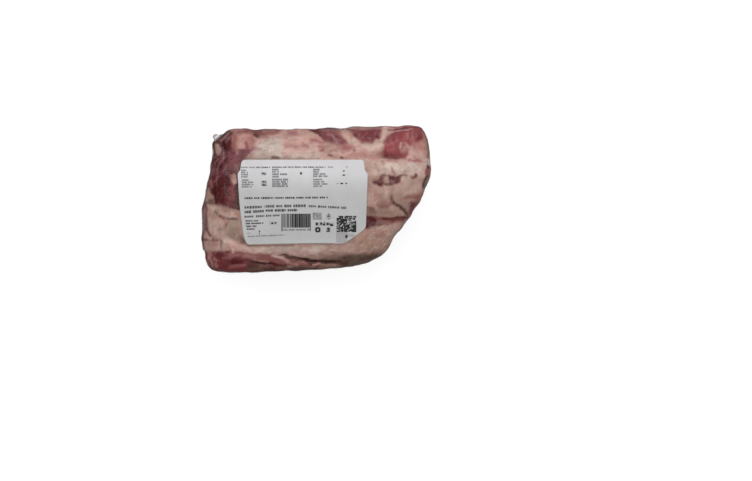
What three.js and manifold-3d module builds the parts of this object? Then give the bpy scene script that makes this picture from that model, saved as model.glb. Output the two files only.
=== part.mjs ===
// A piece of ribeye beef, vacuum-packed in clear shrink film, with a paper label stuck on its upper side
// and the bag's welded seal folded against its left end.
// Millimetres. The piece lies on its flattened underside: +X runs along it, +Y across it and +Z up.
// The origin is the middle of the foot of the box round the piece.

import * as THREE from "three";
import { mergeVertices } from "three/addons/utils/BufferGeometryUtils.js";
import Module from "manifold-3d";

// Driving dimensions of the wrapped piece
const LENGTH = 211.5;
const WIDTH = 135.5;
const THICKNESS = 72;

// Shape of its upright section, as shares of the thickness and of the way from the crown to the outline
const WAIST = 0.45;
const CROWN = { x: -0.05, y: 0.14 };
const UPPER_BOW = { across: 2.9, up: 2.15 };
const LOWER_BOW = { across: 2.8, up: 2.3 };
const FOOT = 0.76;
const THINNER_RIGHT_END = 0.13;

// How finely the skin is faceted
const SPOKES = 136;
const WALL_RINGS = 34;
const FOOT_RINGS = 2;
const PROFILE_SAMPLES = 90;

// Label and the space under it
const LABEL_THICKNESS = 0.4;
const LABEL_GAP = 0.35;
const LABEL_CELL = 5;
const LABEL_MARGIN = 3;
const SMOOTH_ROUND_LABEL = 6;

// Welded seal of the bag, folded flat against the left end, and the ear of film that stands out at its
// upper corner. Both run from one share of the outline to another.
const SEAL = { from: 0.548, to: 0.728, height: 7, thickness: 0.8, level: 0.47, cells: 34 };
const EAR = { from: 0.713, to: 0.727, height: 0.9, reach: 3.6, cells: 8 };
const SEAL_GAP = 0.6;

// Outline seen from above, clockwise from the right end of the upper edge, as shares of half the
// length and half the width
const OUTLINE = [
  [0.733, 0.987], [0.915, 0.972], [0.965, 0.82], [0.99, 0.47], [0.99, 0.31],
  [0.932, 0.06], [0.832, -0.215], [0.664, -0.56], [0.602, -0.74], [0.488, -0.86],
  [0.3, -0.93], [-0.22, -0.988], [-0.585, -1.005], [-0.835, -1.004], [-0.962, -0.962],
  [-0.998, -0.82], [-1.003, -0.56], [-0.988, -0.12], [-0.925, 0.393], [-0.9, 0.618],
  [-0.885, 0.772], [-0.8, 0.91], [-0.715, 0.95], [-0.27, 0.944], [0.28, 0.971],
];

// Label outline in millimetres, anticlockwise from the lower left, each corner with its rounding
const LABEL_OUTLINE = [
  { x: -61.3, y: -42.6, r: 2.5 }, { x: 0.9, y: -40.8, r: 30 }, { x: 27, y: -41.2, r: 3 },
  { x: 46.2, y: -27.2, r: 4 }, { x: 47.9, y: 23, r: 1.5 }, { x: 45.3, y: 26.4, r: 1.5 },
  { x: 44.5, y: 34.8, r: 2 }, { x: -66.6, y: 34.9, r: 4 }, { x: -67.3, y: 26, r: 1.2 },
  { x: -69.4, y: 23.4, r: 1.5 }, { x: -68, y: -6, r: 30 }, { x: -64, y: -34.5, r: 4 },
];

// Creases between muscles and fat on the upper side, as shares like OUTLINE, with depth and width
const CREASES = [
  { way: [[-0.32, -0.745], [-0.21, -0.78], [0.04, -0.83], [0.23, -0.86]], depth: 3, width: 4 },
  { way: [[-0.55, -0.845], [-0.37, -0.865], [-0.26, -0.9]], depth: 2.2, width: 3.6 },
  { way: [[0.5, 0.22], [0.575, 0.21]], depth: 2, width: 3.2 },
  { way: [[0.64, 0.235], [0.73, 0.25], [0.8, 0.3]], depth: 2.2, width: 3.2 },
  { way: [[0.47, -0.31], [0.58, -0.3], [0.8, -0.25]], depth: 2.6, width: 3.8 },
  { way: [[0.55, -0.08], [0.65, -0.06], [0.79, -0.2]], depth: 1.4, width: 3 },
  { way: [[-0.85, -0.17], [-0.76, -0.265], [-0.66, -0.275]], depth: 2, width: 3.2 },
  { way: [[-0.755, -0.28], [-0.79, -0.41]], depth: 1.3, width: 3 },
  { way: [[-0.9, -0.08], [-0.68, -0.12]], depth: 1.6, width: 3 },
  { way: [[-0.74, -0.47], [-0.62, -0.58]], depth: 2, width: 4 },
  { way: [[-0.7, 0.84], [-0.43, 0.86], [-0.18, 0.85]], depth: 1.4, width: 3 },
  { way: [[0.03, 0.87], [0.13, 0.74]], depth: 1, width: 2.6 },
  { way: [[0.14, 0.86], [0.24, 0.7]], depth: 1.1, width: 2.6 },
  { way: [[0.31, 0.89], [0.36, 0.79], [0.42, 0.73], [0.5, 0.74], [0.58, 0.9]], depth: 1.3, width: 3 },
  { way: [[0.575, 0.53], [0.66, 0.515], [0.76, 0.54]], depth: 1.8, width: 2.8 },
  { way: [[0.93, 0.13], [0.95, 0.26]], depth: 2.2, width: 3 },
  { way: [[-0.83, 0.7], [-0.79, 0.55], [-0.86, 0.42]], depth: 1.5, width: 3 },
];

// Rolls of fat and muscle that stand proud on the upper side
const ROLLS = [
  { way: [[-0.1, -0.69], [0.3, -0.66], [0.55, -0.5]], depth: -2.6, width: 8 },
  { way: [[-0.75, -0.82], [-0.55, -0.79]], depth: -1.6, width: 7 },
  { way: [[0.5, 0.41], [0.9, 0.4]], depth: -1.8, width: 7 },
  { way: [[0.5, 0.05], [0.85, 0.05]], depth: -1.8, width: 7 },
  { way: [[0.605, 0.235], [0.615, 0.245]], depth: -1.4, width: 3 },
  { way: [[0.62, 0.68], [0.8, 0.75]], depth: -1.6, width: 8 },
  { way: [[-0.83, -0.15], [-0.7, -0.22]], depth: -1.5, width: 5 },
  { way: [[-0.86, -0.4], [-0.8, -0.5]], depth: -1.6, width: 8 },
  { way: [[-0.78, 0.1], [-0.72, 0.3]], depth: -1.8, width: 9 },
  { way: [[-0.65, 0.72], [-0.3, 0.7]], depth: -1.4, width: 8 },
];

// Creases that run round the sides, from one share of the outline to another, with their heights as
// shares of the thickness
const SIDE_CREASES = [
  { from: 0.33, to: 0.52, low: 0.42, high: 0.5, depth: 2.2, width: 4 },
  { from: 0.42, to: 0.58, low: 0.2, high: 0.24, depth: 1.6, width: 4 },
  { from: 0.8, to: 0.99, low: 0.33, high: 0.46, depth: 2, width: 4 },
  { from: 0.02, to: 0.16, low: 0.3, high: 0.5, depth: 2.2, width: 4 },
  { from: 0.14, to: 0.31, low: 0.52, high: 0.36, depth: 1.8, width: 4 },
  { from: 0.59, to: 0.75, low: 0.22, high: 0.27, depth: 1.8, width: 4 },
];
const CREASE_STEPS = 16;

// Gentle unevenness of the whole skin: waves with their directions, in turns per metre
const LUMP_HEIGHT = 0.5;
const LUMPS = [
  [23, 11, 9], [-14, 27, 17], [8, -31, 25], [37, 19, -21], [-41, 9, 13],
];

const wasm = await Module();
wasm.setup();

const clamp01 = (v) => THREE.MathUtils.clamp(v, 0, 1);
const placed = ([x, y]) => new THREE.Vector2((x * LENGTH) / 2, (y * WIDTH) / 2);

const outline = new THREE.CatmullRomCurve3(
  OUTLINE.map((share) => {
    const p = placed(share);
    return new THREE.Vector3(p.x, p.y, 0);
  }),
  true,
  "centripetal",
);
const crown = placed([CROWN.x, CROWN.y]);

// A quarter of a superellipse from the middle (0, 1) to the rim (1, 0)
function bowPoint(bow, turn) {
  return new THREE.Vector2(Math.sin(turn) ** (2 / bow.across), Math.cos(turn) ** (2 / bow.up));
}

// The upright section from the crown to the foot: x is the share of the way out, y the height
function sectionPoints() {
  const waist = WAIST * THICKNESS;
  const footTurn = Math.asin(FOOT ** (LOWER_BOW.across / 2));
  const drop = waist / bowPoint(LOWER_BOW, footTurn).y;
  const reach = (LENGTH + WIDTH) / 4;
  const points = [];
  for (let i = 0; i <= PROFILE_SAMPLES; i++) {
    const p = bowPoint(UPPER_BOW, ((i / PROFILE_SAMPLES) * Math.PI) / 2);
    points.push(new THREE.Vector2(p.x * reach, waist + p.y * (THICKNESS - waist)));
  }
  for (let i = 1; i <= PROFILE_SAMPLES; i++) {
    const turn = Math.PI / 2 - (i / PROFILE_SAMPLES) * (Math.PI / 2 - footTurn);
    const p = bowPoint(LOWER_BOW, turn);
    points.push(new THREE.Vector2(p.x * reach, waist - p.y * drop));
  }
  points[points.length - 1].y = 0;
  return new THREE.SplineCurve(points)
    .getSpacedPoints(WALL_RINGS)
    .map((p) => ({ share: p.x / reach, height: Math.max(p.y, 0) }));
}

// The piece gets thinner towards its right end, above the waist
function thinned(x, height) {
  const waist = WAIST * THICKNESS;
  const towardsRight = THREE.MathUtils.smoothstep(x, 0, LENGTH / 2);
  return height > waist ? waist + (height - waist) * (1 - THINNER_RIGHT_END * towardsRight) : height;
}

// The smooth skin: rings round a crown, closed by a flat foot
function smoothSkin() {
  const rim = outline.getSpacedPoints(SPOKES).slice(0, SPOKES);
  const wall = sectionPoints();
  const rings = wall.slice(1);
  for (let i = 1; i <= FOOT_RINGS; i++) {
    rings.push({ share: (FOOT * (FOOT_RINGS + 1 - i)) / (FOOT_RINGS + 1), height: 0 });
  }
  const positions = [crown.x, crown.y, thinned(crown.x, wall[0].height)];
  for (const ring of rings) {
    for (const p of rim) {
      const x = crown.x + ring.share * (p.x - crown.x);
      const y = crown.y + ring.share * (p.y - crown.y);
      positions.push(x, y, thinned(x, ring.height));
    }
  }
  positions.push(crown.x, crown.y, 0);
  const faces = [];
  const vertex = (ring, spoke) => 1 + ring * SPOKES + (spoke % SPOKES);
  const last = 1 + rings.length * SPOKES;
  for (let s = 0; s < SPOKES; s++) {
    faces.push(0, vertex(0, s + 1), vertex(0, s));
    for (let r = 0; r + 1 < rings.length; r++) {
      const corners = [vertex(r, s), vertex(r, s + 1), vertex(r + 1, s + 1), vertex(r + 1, s)];
      faces.push(corners[0], corners[1], corners[2], corners[0], corners[2], corners[3]);
    }
    faces.push(last, vertex(rings.length - 1, s), vertex(rings.length - 1, s + 1));
  }
  const skin = new THREE.BufferGeometry();
  skin.setAttribute("position", new THREE.Float32BufferAttribute(positions, 3));
  skin.setIndex(faces);
  skin.computeVertexNormals();
  return skin;
}

// Closeness of a point to a line of points, 1 on it and fading over the given width
function closeness(point, way, width) {
  const nearest = new THREE.Vector3();
  let best = Infinity;
  for (let i = 0; i + 1 < way.length; i++) {
    new THREE.Line3(way[i], way[i + 1]).closestPointToPoint(point, true, nearest);
    best = Math.min(best, nearest.distanceTo(point));
  }
  return Math.exp(-((best / width) ** 2));
}

// 1 well outside the label, 0 under it
function clearOfLabel(x, y) {
  const xs = LABEL_OUTLINE.map((p) => p.x);
  const ys = LABEL_OUTLINE.map((p) => p.y);
  const outX = Math.max(Math.min(...xs) - x, x - Math.max(...xs), 0);
  const outY = Math.max(Math.min(...ys) - y, y - Math.max(...ys), 0);
  return THREE.MathUtils.smoothstep(Math.hypot(outX, outY), 0, SMOOTH_ROUND_LABEL);
}

// How far the real skin lies inside the smooth one at a point
function makeRelief() {
  const flat = [...CREASES, ...ROLLS].map((c) => ({
    ...c,
    way: c.way.map((share) => {
      const p = placed(share);
      return new THREE.Vector3(p.x, p.y, 0);
    }),
  }));
  const round = SIDE_CREASES.map((c) => {
    const way = [];
    for (let i = 0; i <= CREASE_STEPS; i++) {
      const t = i / CREASE_STEPS;
      const p = outline.getPointAt(c.from + t * (c.to - c.from));
      way.push(p.setZ(THICKNESS * (c.low + t * (c.high - c.low))));
    }
    return { ...c, way };
  });
  return (p) => {
    const level = p.z / THICKNESS;
    const upper = THREE.MathUtils.smoothstep(level, WAIST - 0.08, WAIST + 0.12);
    const above = new THREE.Vector3(p.x, p.y, 0);
    let depth = 0;
    for (const c of flat) depth += upper * c.depth * closeness(above, c.way, c.width);
    for (const c of round) depth += c.depth * closeness(p, c.way, c.width);
    for (const [a, b, c] of LUMPS) {
      depth += LUMP_HEIGHT * Math.sin((2 * Math.PI * (a * p.x + b * p.y + c * p.z)) / 1000);
    }
    const onTop = THREE.MathUtils.smoothstep(level, 0.6, 0.8);
    const smooth = 1 - onTop * (1 - clearOfLabel(p.x, p.y));
    return depth * smooth * clamp01(p.z / (0.12 * THICKNESS));
  };
}

function meatSkin() {
  const skin = smoothSkin();
  const relief = makeRelief();
  const at = skin.getAttribute("position");
  const out = skin.getAttribute("normal");
  const p = new THREE.Vector3();
  const n = new THREE.Vector3();
  for (let i = 0; i < at.count; i++) {
    p.fromBufferAttribute(at, i);
    if (p.z === 0) continue;
    n.fromBufferAttribute(out, i);
    p.addScaledVector(n, -relief(p));
    at.setXYZ(i, p.x, p.y, p.z);
  }
  return skin;
}

function toManifold(geometry) {
  const bare = new THREE.BufferGeometry().setAttribute("position", geometry.getAttribute("position"));
  if (geometry.index) bare.setIndex(geometry.index);
  const merged = mergeVertices(bare, 1e-4);
  return new wasm.Manifold(
    new wasm.Mesh({
      numProp: 3,
      vertProperties: new Float32Array(merged.attributes.position.array),
      triVerts: new Uint32Array(merged.index.array),
    }),
  );
}

function toGeometry(solid) {
  const mesh = solid.getMesh();
  const geometry = new THREE.BufferGeometry();
  geometry.setAttribute("position", new THREE.Float32BufferAttribute(mesh.vertProperties, 3));
  geometry.setIndex([...mesh.triVerts]);
  return geometry;
}

// A closed shape through corners that are each rounded
function roundedShape(corners) {
  const shape = new THREE.Shape();
  corners.forEach((corner, i) => {
    const at = new THREE.Vector2(corner.x, corner.y);
    const before = corners[(i + corners.length - 1) % corners.length];
    const after = corners[(i + 1) % corners.length];
    const cut = (other) => {
      const side = new THREE.Vector2(other.x - at.x, other.y - at.y);
      return side.setLength(Math.min(corner.r, side.length() * 0.45)).add(at);
    };
    const start = cut(before);
    const end = cut(after);
    if (i === 0) shape.moveTo(start.x, start.y);
    else shape.lineTo(start.x, start.y);
    shape.quadraticCurveTo(at.x, at.y, end.x, end.y);
  });
  shape.closePath();
  return shape;
}

// A closed slab of cells. place(across, up) gives a point on the skin, the way out of it and how far out
// the slab starts and ends there.
function slab(columns, rows, place) {
  const foot = [];
  for (let r = 0; r <= rows; r++) {
    for (let c = 0; c <= columns; c++) foot.push(place(c / columns, r / rows));
  }
  const positions = [];
  for (const side of ["start", "end"]) {
    for (const f of foot) positions.push(...f.at.clone().addScaledVector(f.out, f[side]).toArray());
  }
  const vertex = (top, r, c) => top * foot.length + r * (columns + 1) + c;
  const faces = [];
  const quad = (a, b, c, d) => faces.push(a, b, c, a, c, d);
  for (let r = 0; r < rows; r++) {
    for (let c = 0; c < columns; c++) {
      quad(vertex(1, r, c), vertex(1, r, c + 1), vertex(1, r + 1, c + 1), vertex(1, r + 1, c));
      quad(vertex(0, r, c), vertex(0, r + 1, c), vertex(0, r + 1, c + 1), vertex(0, r, c + 1));
    }
    quad(vertex(0, r, 0), vertex(1, r, 0), vertex(1, r + 1, 0), vertex(0, r + 1, 0));
    quad(vertex(0, r, columns), vertex(0, r + 1, columns), vertex(1, r + 1, columns), vertex(1, r, columns));
  }
  for (let c = 0; c < columns; c++) {
    quad(vertex(0, 0, c), vertex(0, 0, c + 1), vertex(1, 0, c + 1), vertex(1, 0, c));
    quad(vertex(0, rows, c), vertex(1, rows, c), vertex(1, rows, c + 1), vertex(0, rows, c + 1));
  }
  const geometry = new THREE.BufferGeometry();
  geometry.setAttribute("position", new THREE.Float32BufferAttribute(positions, 3));
  geometry.setIndex(faces);
  return geometry;
}

// Where a line from a point first meets the skin
function meetSkin(target, from, way) {
  const caster = new THREE.Raycaster(from, way);
  return caster.intersectObject(target)[0].point;
}

// A curved slab that lies on the skin, over the label's box and a margin
function labelSlab(target) {
  const box = new THREE.Box2().setFromPoints(LABEL_OUTLINE.map((p) => new THREE.Vector2(p.x, p.y)));
  box.expandByScalar(LABEL_MARGIN);
  const columns = Math.ceil((box.max.x - box.min.x) / LABEL_CELL);
  const rows = Math.ceil((box.max.y - box.min.y) / LABEL_CELL);
  const down = new THREE.Vector3(0, 0, -1);
  const place = (across, up) => {
    const x = THREE.MathUtils.lerp(box.min.x, box.max.x, across);
    const y = THREE.MathUtils.lerp(box.min.y, box.max.y, up);
    const above = new THREE.Vector3(x, y, 2 * THICKNESS);
    return {
      at: meetSkin(target, above, down),
      out: down.clone().negate(),
      start: LABEL_GAP,
      end: LABEL_GAP + LABEL_THICKNESS,
    };
  };
  return slab(columns, rows, place);
}

// A band that hugs the side of the skin along a stretch of the outline
function sideBand(target, band, rows, end) {
  const place = (across, up) => {
    const rim = outline.getPointAt(band.to - across * (band.to - band.from));
    const out = new THREE.Vector3(rim.x - crown.x, rim.y - crown.y, 0).normalize();
    const height = SEAL.level * THICKNESS + (up - 0.5) * band.height;
    const far = new THREE.Vector3(crown.x, crown.y, height).addScaledVector(out, LENGTH);
    const at = meetSkin(target, far, out.clone().negate());
    return { at, out, start: SEAL_GAP, end: SEAL_GAP + end(across) };
  };
  return slab(band.cells, rows, place);
}

// The seal is a flat strip, and its ear a thin flap that tapers from its middle to both ends
function sealGeometry(target) {
  const strip = sideBand(target, SEAL, 2, () => SEAL.thickness);
  const ear = sideBand(target, EAR, 1, (across) => {
    return SEAL.thickness / 2 + EAR.reach * Math.sin(Math.PI * across) ** 0.7;
  });
  return toGeometry(toManifold(strip).add(toManifold(ear)));
}

// The label is the curved slab inside its own rounded outline
function labelGeometry(target) {
  const prism = new THREE.ExtrudeGeometry(roundedShape(LABEL_OUTLINE), {
    depth: 2 * THICKNESS,
    bevelEnabled: false,
    curveSegments: 5,
  });
  return toGeometry(toManifold(labelSlab(target)).intersect(toManifold(prism)));
}

function addMesh(group, name, geometry, material) {
  const mesh = new THREE.Mesh(geometry, material);
  mesh.name = name;
  group.add(mesh);
}

const skin = meatSkin();
const target = new THREE.Mesh(skin, new THREE.MeshBasicMaterial({ side: THREE.DoubleSide }));

const piece = new THREE.Group();
addMesh(
  piece,
  "wrapped_beef",
  skin,
  new THREE.MeshStandardMaterial({ color: 0x8f5a55, roughness: 0.25, metalness: 0 }),
);
addMesh(
  piece,
  "bag_seal",
  sealGeometry(target),
  new THREE.MeshStandardMaterial({ color: 0x9a7f86, roughness: 0.15, metalness: 0 }),
);
addMesh(
  piece,
  "label",
  labelGeometry(target),
  new THREE.MeshStandardMaterial({ color: 0xd6d7d9, roughness: 0.6, metalness: 0 }),
);

const box = new THREE.Box3().setFromObject(piece);
piece.position.set(-(box.min.x + box.max.x) / 2, -(box.min.y + box.max.y) / 2, 0);

export default piece;
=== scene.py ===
"""A piece of ribeye beef, vacuum-packed in clear shrink film, with a paper label on its upper side.

Lengths in the marks below are millimetres, and everything that Blender gets is in metres. The marks on
the upper side are measured on one level plane, as the camera above sees them, and are carried down from
it onto the surface.
"""

import math
import random
from typing import NamedTuple

import bmesh
import bpy
import numpy as np
from bpy.props import FloatProperty, FloatVectorProperty, IntProperty, PointerProperty
from bpy.types import Operator, Panel, PropertyGroup
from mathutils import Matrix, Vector, noise
from mathutils.bvhtree import BVHTree


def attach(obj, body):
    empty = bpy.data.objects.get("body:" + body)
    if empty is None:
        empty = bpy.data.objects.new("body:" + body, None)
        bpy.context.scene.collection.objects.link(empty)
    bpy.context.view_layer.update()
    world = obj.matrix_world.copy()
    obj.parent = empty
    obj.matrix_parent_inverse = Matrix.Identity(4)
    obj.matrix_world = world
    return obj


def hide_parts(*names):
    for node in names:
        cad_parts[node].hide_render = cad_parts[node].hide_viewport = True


bl_info = {
    "name": "Packed ribeye piece",
    "version": (1, 0, 0),
    "blender": (4, 5, 0),
    "location": "View3D > Sidebar > Ribeye",
    "description": "Builds a vacuum-packed piece of ribeye beef with its label",
    "category": "Object",
}

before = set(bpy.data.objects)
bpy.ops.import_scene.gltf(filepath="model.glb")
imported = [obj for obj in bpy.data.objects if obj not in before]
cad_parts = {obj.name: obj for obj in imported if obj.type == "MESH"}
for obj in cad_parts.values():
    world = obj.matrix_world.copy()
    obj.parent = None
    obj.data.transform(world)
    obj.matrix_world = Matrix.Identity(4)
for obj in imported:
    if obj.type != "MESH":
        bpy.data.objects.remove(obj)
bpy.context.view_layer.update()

MM = 0.001

# Camera over the piece, and the level plane that the marks on the upper side are measured on
CAMERA = Vector((0.0547, -0.038, 1.6685))
MARKS_LEVEL = 0.066

# Heights between which the marks and the film's folds end down the sides, and how uneven the marks' end is
MARKS_END = (22 * MM, 38 * MM)
FOLDS_END = (26 * MM, 40 * MM)
END_RIPPLE = 4 * MM

# The film's gathers at the seal: how far left they begin and are full, their middle height and their reach
GATHERS_FROM = (78 * MM, 100 * MM)
GATHERS_HEIGHT, GATHERS_REACH = 34 * MM, 20 * MM
# Heights between which the film's side folds fade out
SIDE_FOLDS_END = (30 * MM, 45 * MM)

# Seal: size of a face, distances from the film at which it starts to stand free and is free, crimps and waves
SEAL_CELL = 0.3 * MM
SEAL_FREE = (2 * MM, 4 * MM)
CRIMP_PITCH, CRIMP_HEIGHT = 0.8 * MM, 0.08 * MM
WAVE_SIZE, WAVE_HEIGHT = 6 * MM, 0.3 * MM
# The seal's ear, in millimetres on the marks plane: where it begins, its milky foot and its clear hollow
EAR_FROM = (47, 50)
EAR_FOOT = (-91, -89.5)
EAR_HOLLOW, HOLLOW_SPREAD = (-88.2, 55.2), 3
EAR_LEAN = (-0.5 * MM, 0.3 * MM)

# Label: its size in millimetres, and the rounds that bend the stiff paper and settle it on the film
LABEL_SIZE = (118, 78)
STIFF_ROUNDS, SETTLE_ROUNDS = 60, 3
# Height of a printed block's middle over the paper, and the height of pale fields, as shares of the ink's
INK_OVER_PAPER = 0.4
FIELD_HEIGHT = 0.4

# Half the floor's width, and the place that the lights face
FLOOR_HALF = 4.0
LIGHTS_TARGET = (0, 0, 0.05)


# Colours


def from_srgb(code):
    """The linear colour of a six-digit sRGB code."""
    shares = [int(code[i : i + 2], 16) / 255 for i in (0, 2, 4)]
    return tuple(s / 12.92 if s <= 0.04045 else ((s + 0.055) / 1.055) ** 2.4 for s in shares)


def opaque(colour):
    """The colour with full cover as a fourth value."""
    return (*colour, 1)


def tint(code, label, about):
    """A colour that the panel shows, with its sRGB code as default."""
    return FloatVectorProperty(
        name=label, description=about, subtype="COLOR", size=3, min=0, max=1, default=from_srgb(code)
    )


class MeatTints(PropertyGroup):
    # Painted shade: the black red lean stands for shade in deep folds and along the label's edge.
    lean_black: tint("420a0d", "Lean, black red", "Deep folds of the lean")
    lean_deep: tint("560e10", "Lean, deep red", "Darkest flat lean")
    lean_maroon: tint("641f23", "Lean, maroon", "Dark lean near the left end")
    lean_umber: tint("66352e", "Lean, umber", "Brown edge of the lean")
    lean_red: tint("84393b", "Lean, red", "Ordinary lean")
    lean_bright: tint("ab4f52", "Lean, bright red", "Bright muscle at the right end")
    lean_mauve: tint("8f5056", "Lean, mauve", "Striped muscle at the upper edge")
    lean_purple: tint("783c41", "Lean, purple", "Lean of the left end")
    # Painted sheen: the magenta paints the film's purple sheen over the lean.
    lean_magenta: tint("984a58", "Lean, magenta", "Juice under the film")
    lean_rose: tint("b87074", "Lean, rose", "Thinly covered lean")
    lean_dusty: tint("a46a62", "Lean, dusty", "Lean that shows through thin fat")
    fat_pale: tint("ecd3c7", "Fat, pale", "Brightest fat")
    fat_cream: tint("e2c1b4", "Fat, cream", "Ordinary fat")
    fat_grey: tint("dfcabf", "Fat, grey", "Cool cream fat")
    fat_peach: tint("dcb1a5", "Fat, peach", "Warm fat")
    fat_pink: tint("cc938b", "Fat, pink", "Fat stained by juice")
    fat_blush: tint("e2bab0", "Fat, blush", "Lightly stained fat")
    fat_salmon: tint("cf9e94", "Fat, salmon", "Fat over lean")
    fat_tan: tint("c6a295", "Fat, tan", "Fat of the ends")
    fat_sand: tint("be9982", "Fat, sand", "Yellowish fat")
    fat_clay: tint("b78b80", "Fat, clay", "Reddish fat in the shade")
    fat_mauve: tint("b39082", "Fat, mauve", "Cool fat in the shade")
    fat_olive: tint("ab917f", "Fat, olive", "Greenish fat")
    # Painted shade: the umber fat is dark fat and also painted shade in creases, under the label's edges and
    # down the near side; the three shade tints below paint shade in the gaps and creases between muscles and
    # on the near side's foot.
    fat_umber: tint("7e6254", "Fat, umber", "Darkest fat")
    gap_brown: tint("59352b", "Gap, brown", "Shallow gaps between muscles")
    gap_olive: tint("5a4d41", "Gap, olive", "Shaded foot of the near side")
    gap_black: tint("380f0d", "Gap, black", "Deep gaps between muscles")
    # The rose veil is thin skin over the lean and also the film's painted sheen and highlight streaks.
    veil_rose: tint("a98286", "Veil, rose", "Thin skin and film drawn over lean")
    # Painted highlights: the two shine tints paint the film's glints over dark lean and over fat.
    shine_lilac: tint("dcb6c0", "Shine, lilac", "Film drawn over dark lean")
    shine_white: tint("f0dcd4", "Shine, white", "Film drawn over fat")


# Juice on the fat, thin skin over the lean and marbling in it, which the meat's material adds to the tints
STAIN, VEIL, MARBLING = "b0645e", "c09a96", "b98a84"
STAIN_COVER, VEIL_COVER, MARBLING_COVER = 0.42, 0.05, 0.22
# What the film and the seal let through, and the colour of their milky folds
FILM_CLEAR, FILM_MILKY = (0.97, 0.97, 0.97), "d8c8d0"
SEAL_CLEAR, SEAL_MILKY = (0.96, 0.95, 0.95), "a89486"


# Marks on the upper side


class Patch(NamedTuple):
    """An area of one tint: how softly it ends, its outline and how well it covers."""

    tint: str
    soft: float
    outline: list
    strength: float = 1.0


class Streak(NamedTuple):
    """A line or spot of one tint: its half width, how softly it ends, its way and how well it covers."""

    tint: str
    width: float
    soft: float
    way: list
    strength: float = 1.0


class Strokes(NamedTuple):
    """Many fine streaks of one tint in an area: how many, at what angle, how long and how wide."""

    tint: str
    count: int
    angle: float
    spread: float
    length: float
    width: float
    outline: list
    strength: float = 1.0


# How softly each fine streak ends
STROKE_SOFT = 0.9


class Relief(NamedTuple):
    """A ridge, or a groove where the rise is below zero: its half width and its way."""

    rise: float
    width: float
    way: list


class Push(NamedTuple):
    """A place on the rim that is moved outward, how far and over what reach."""

    place: tuple
    out: float
    reach: float


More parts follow.
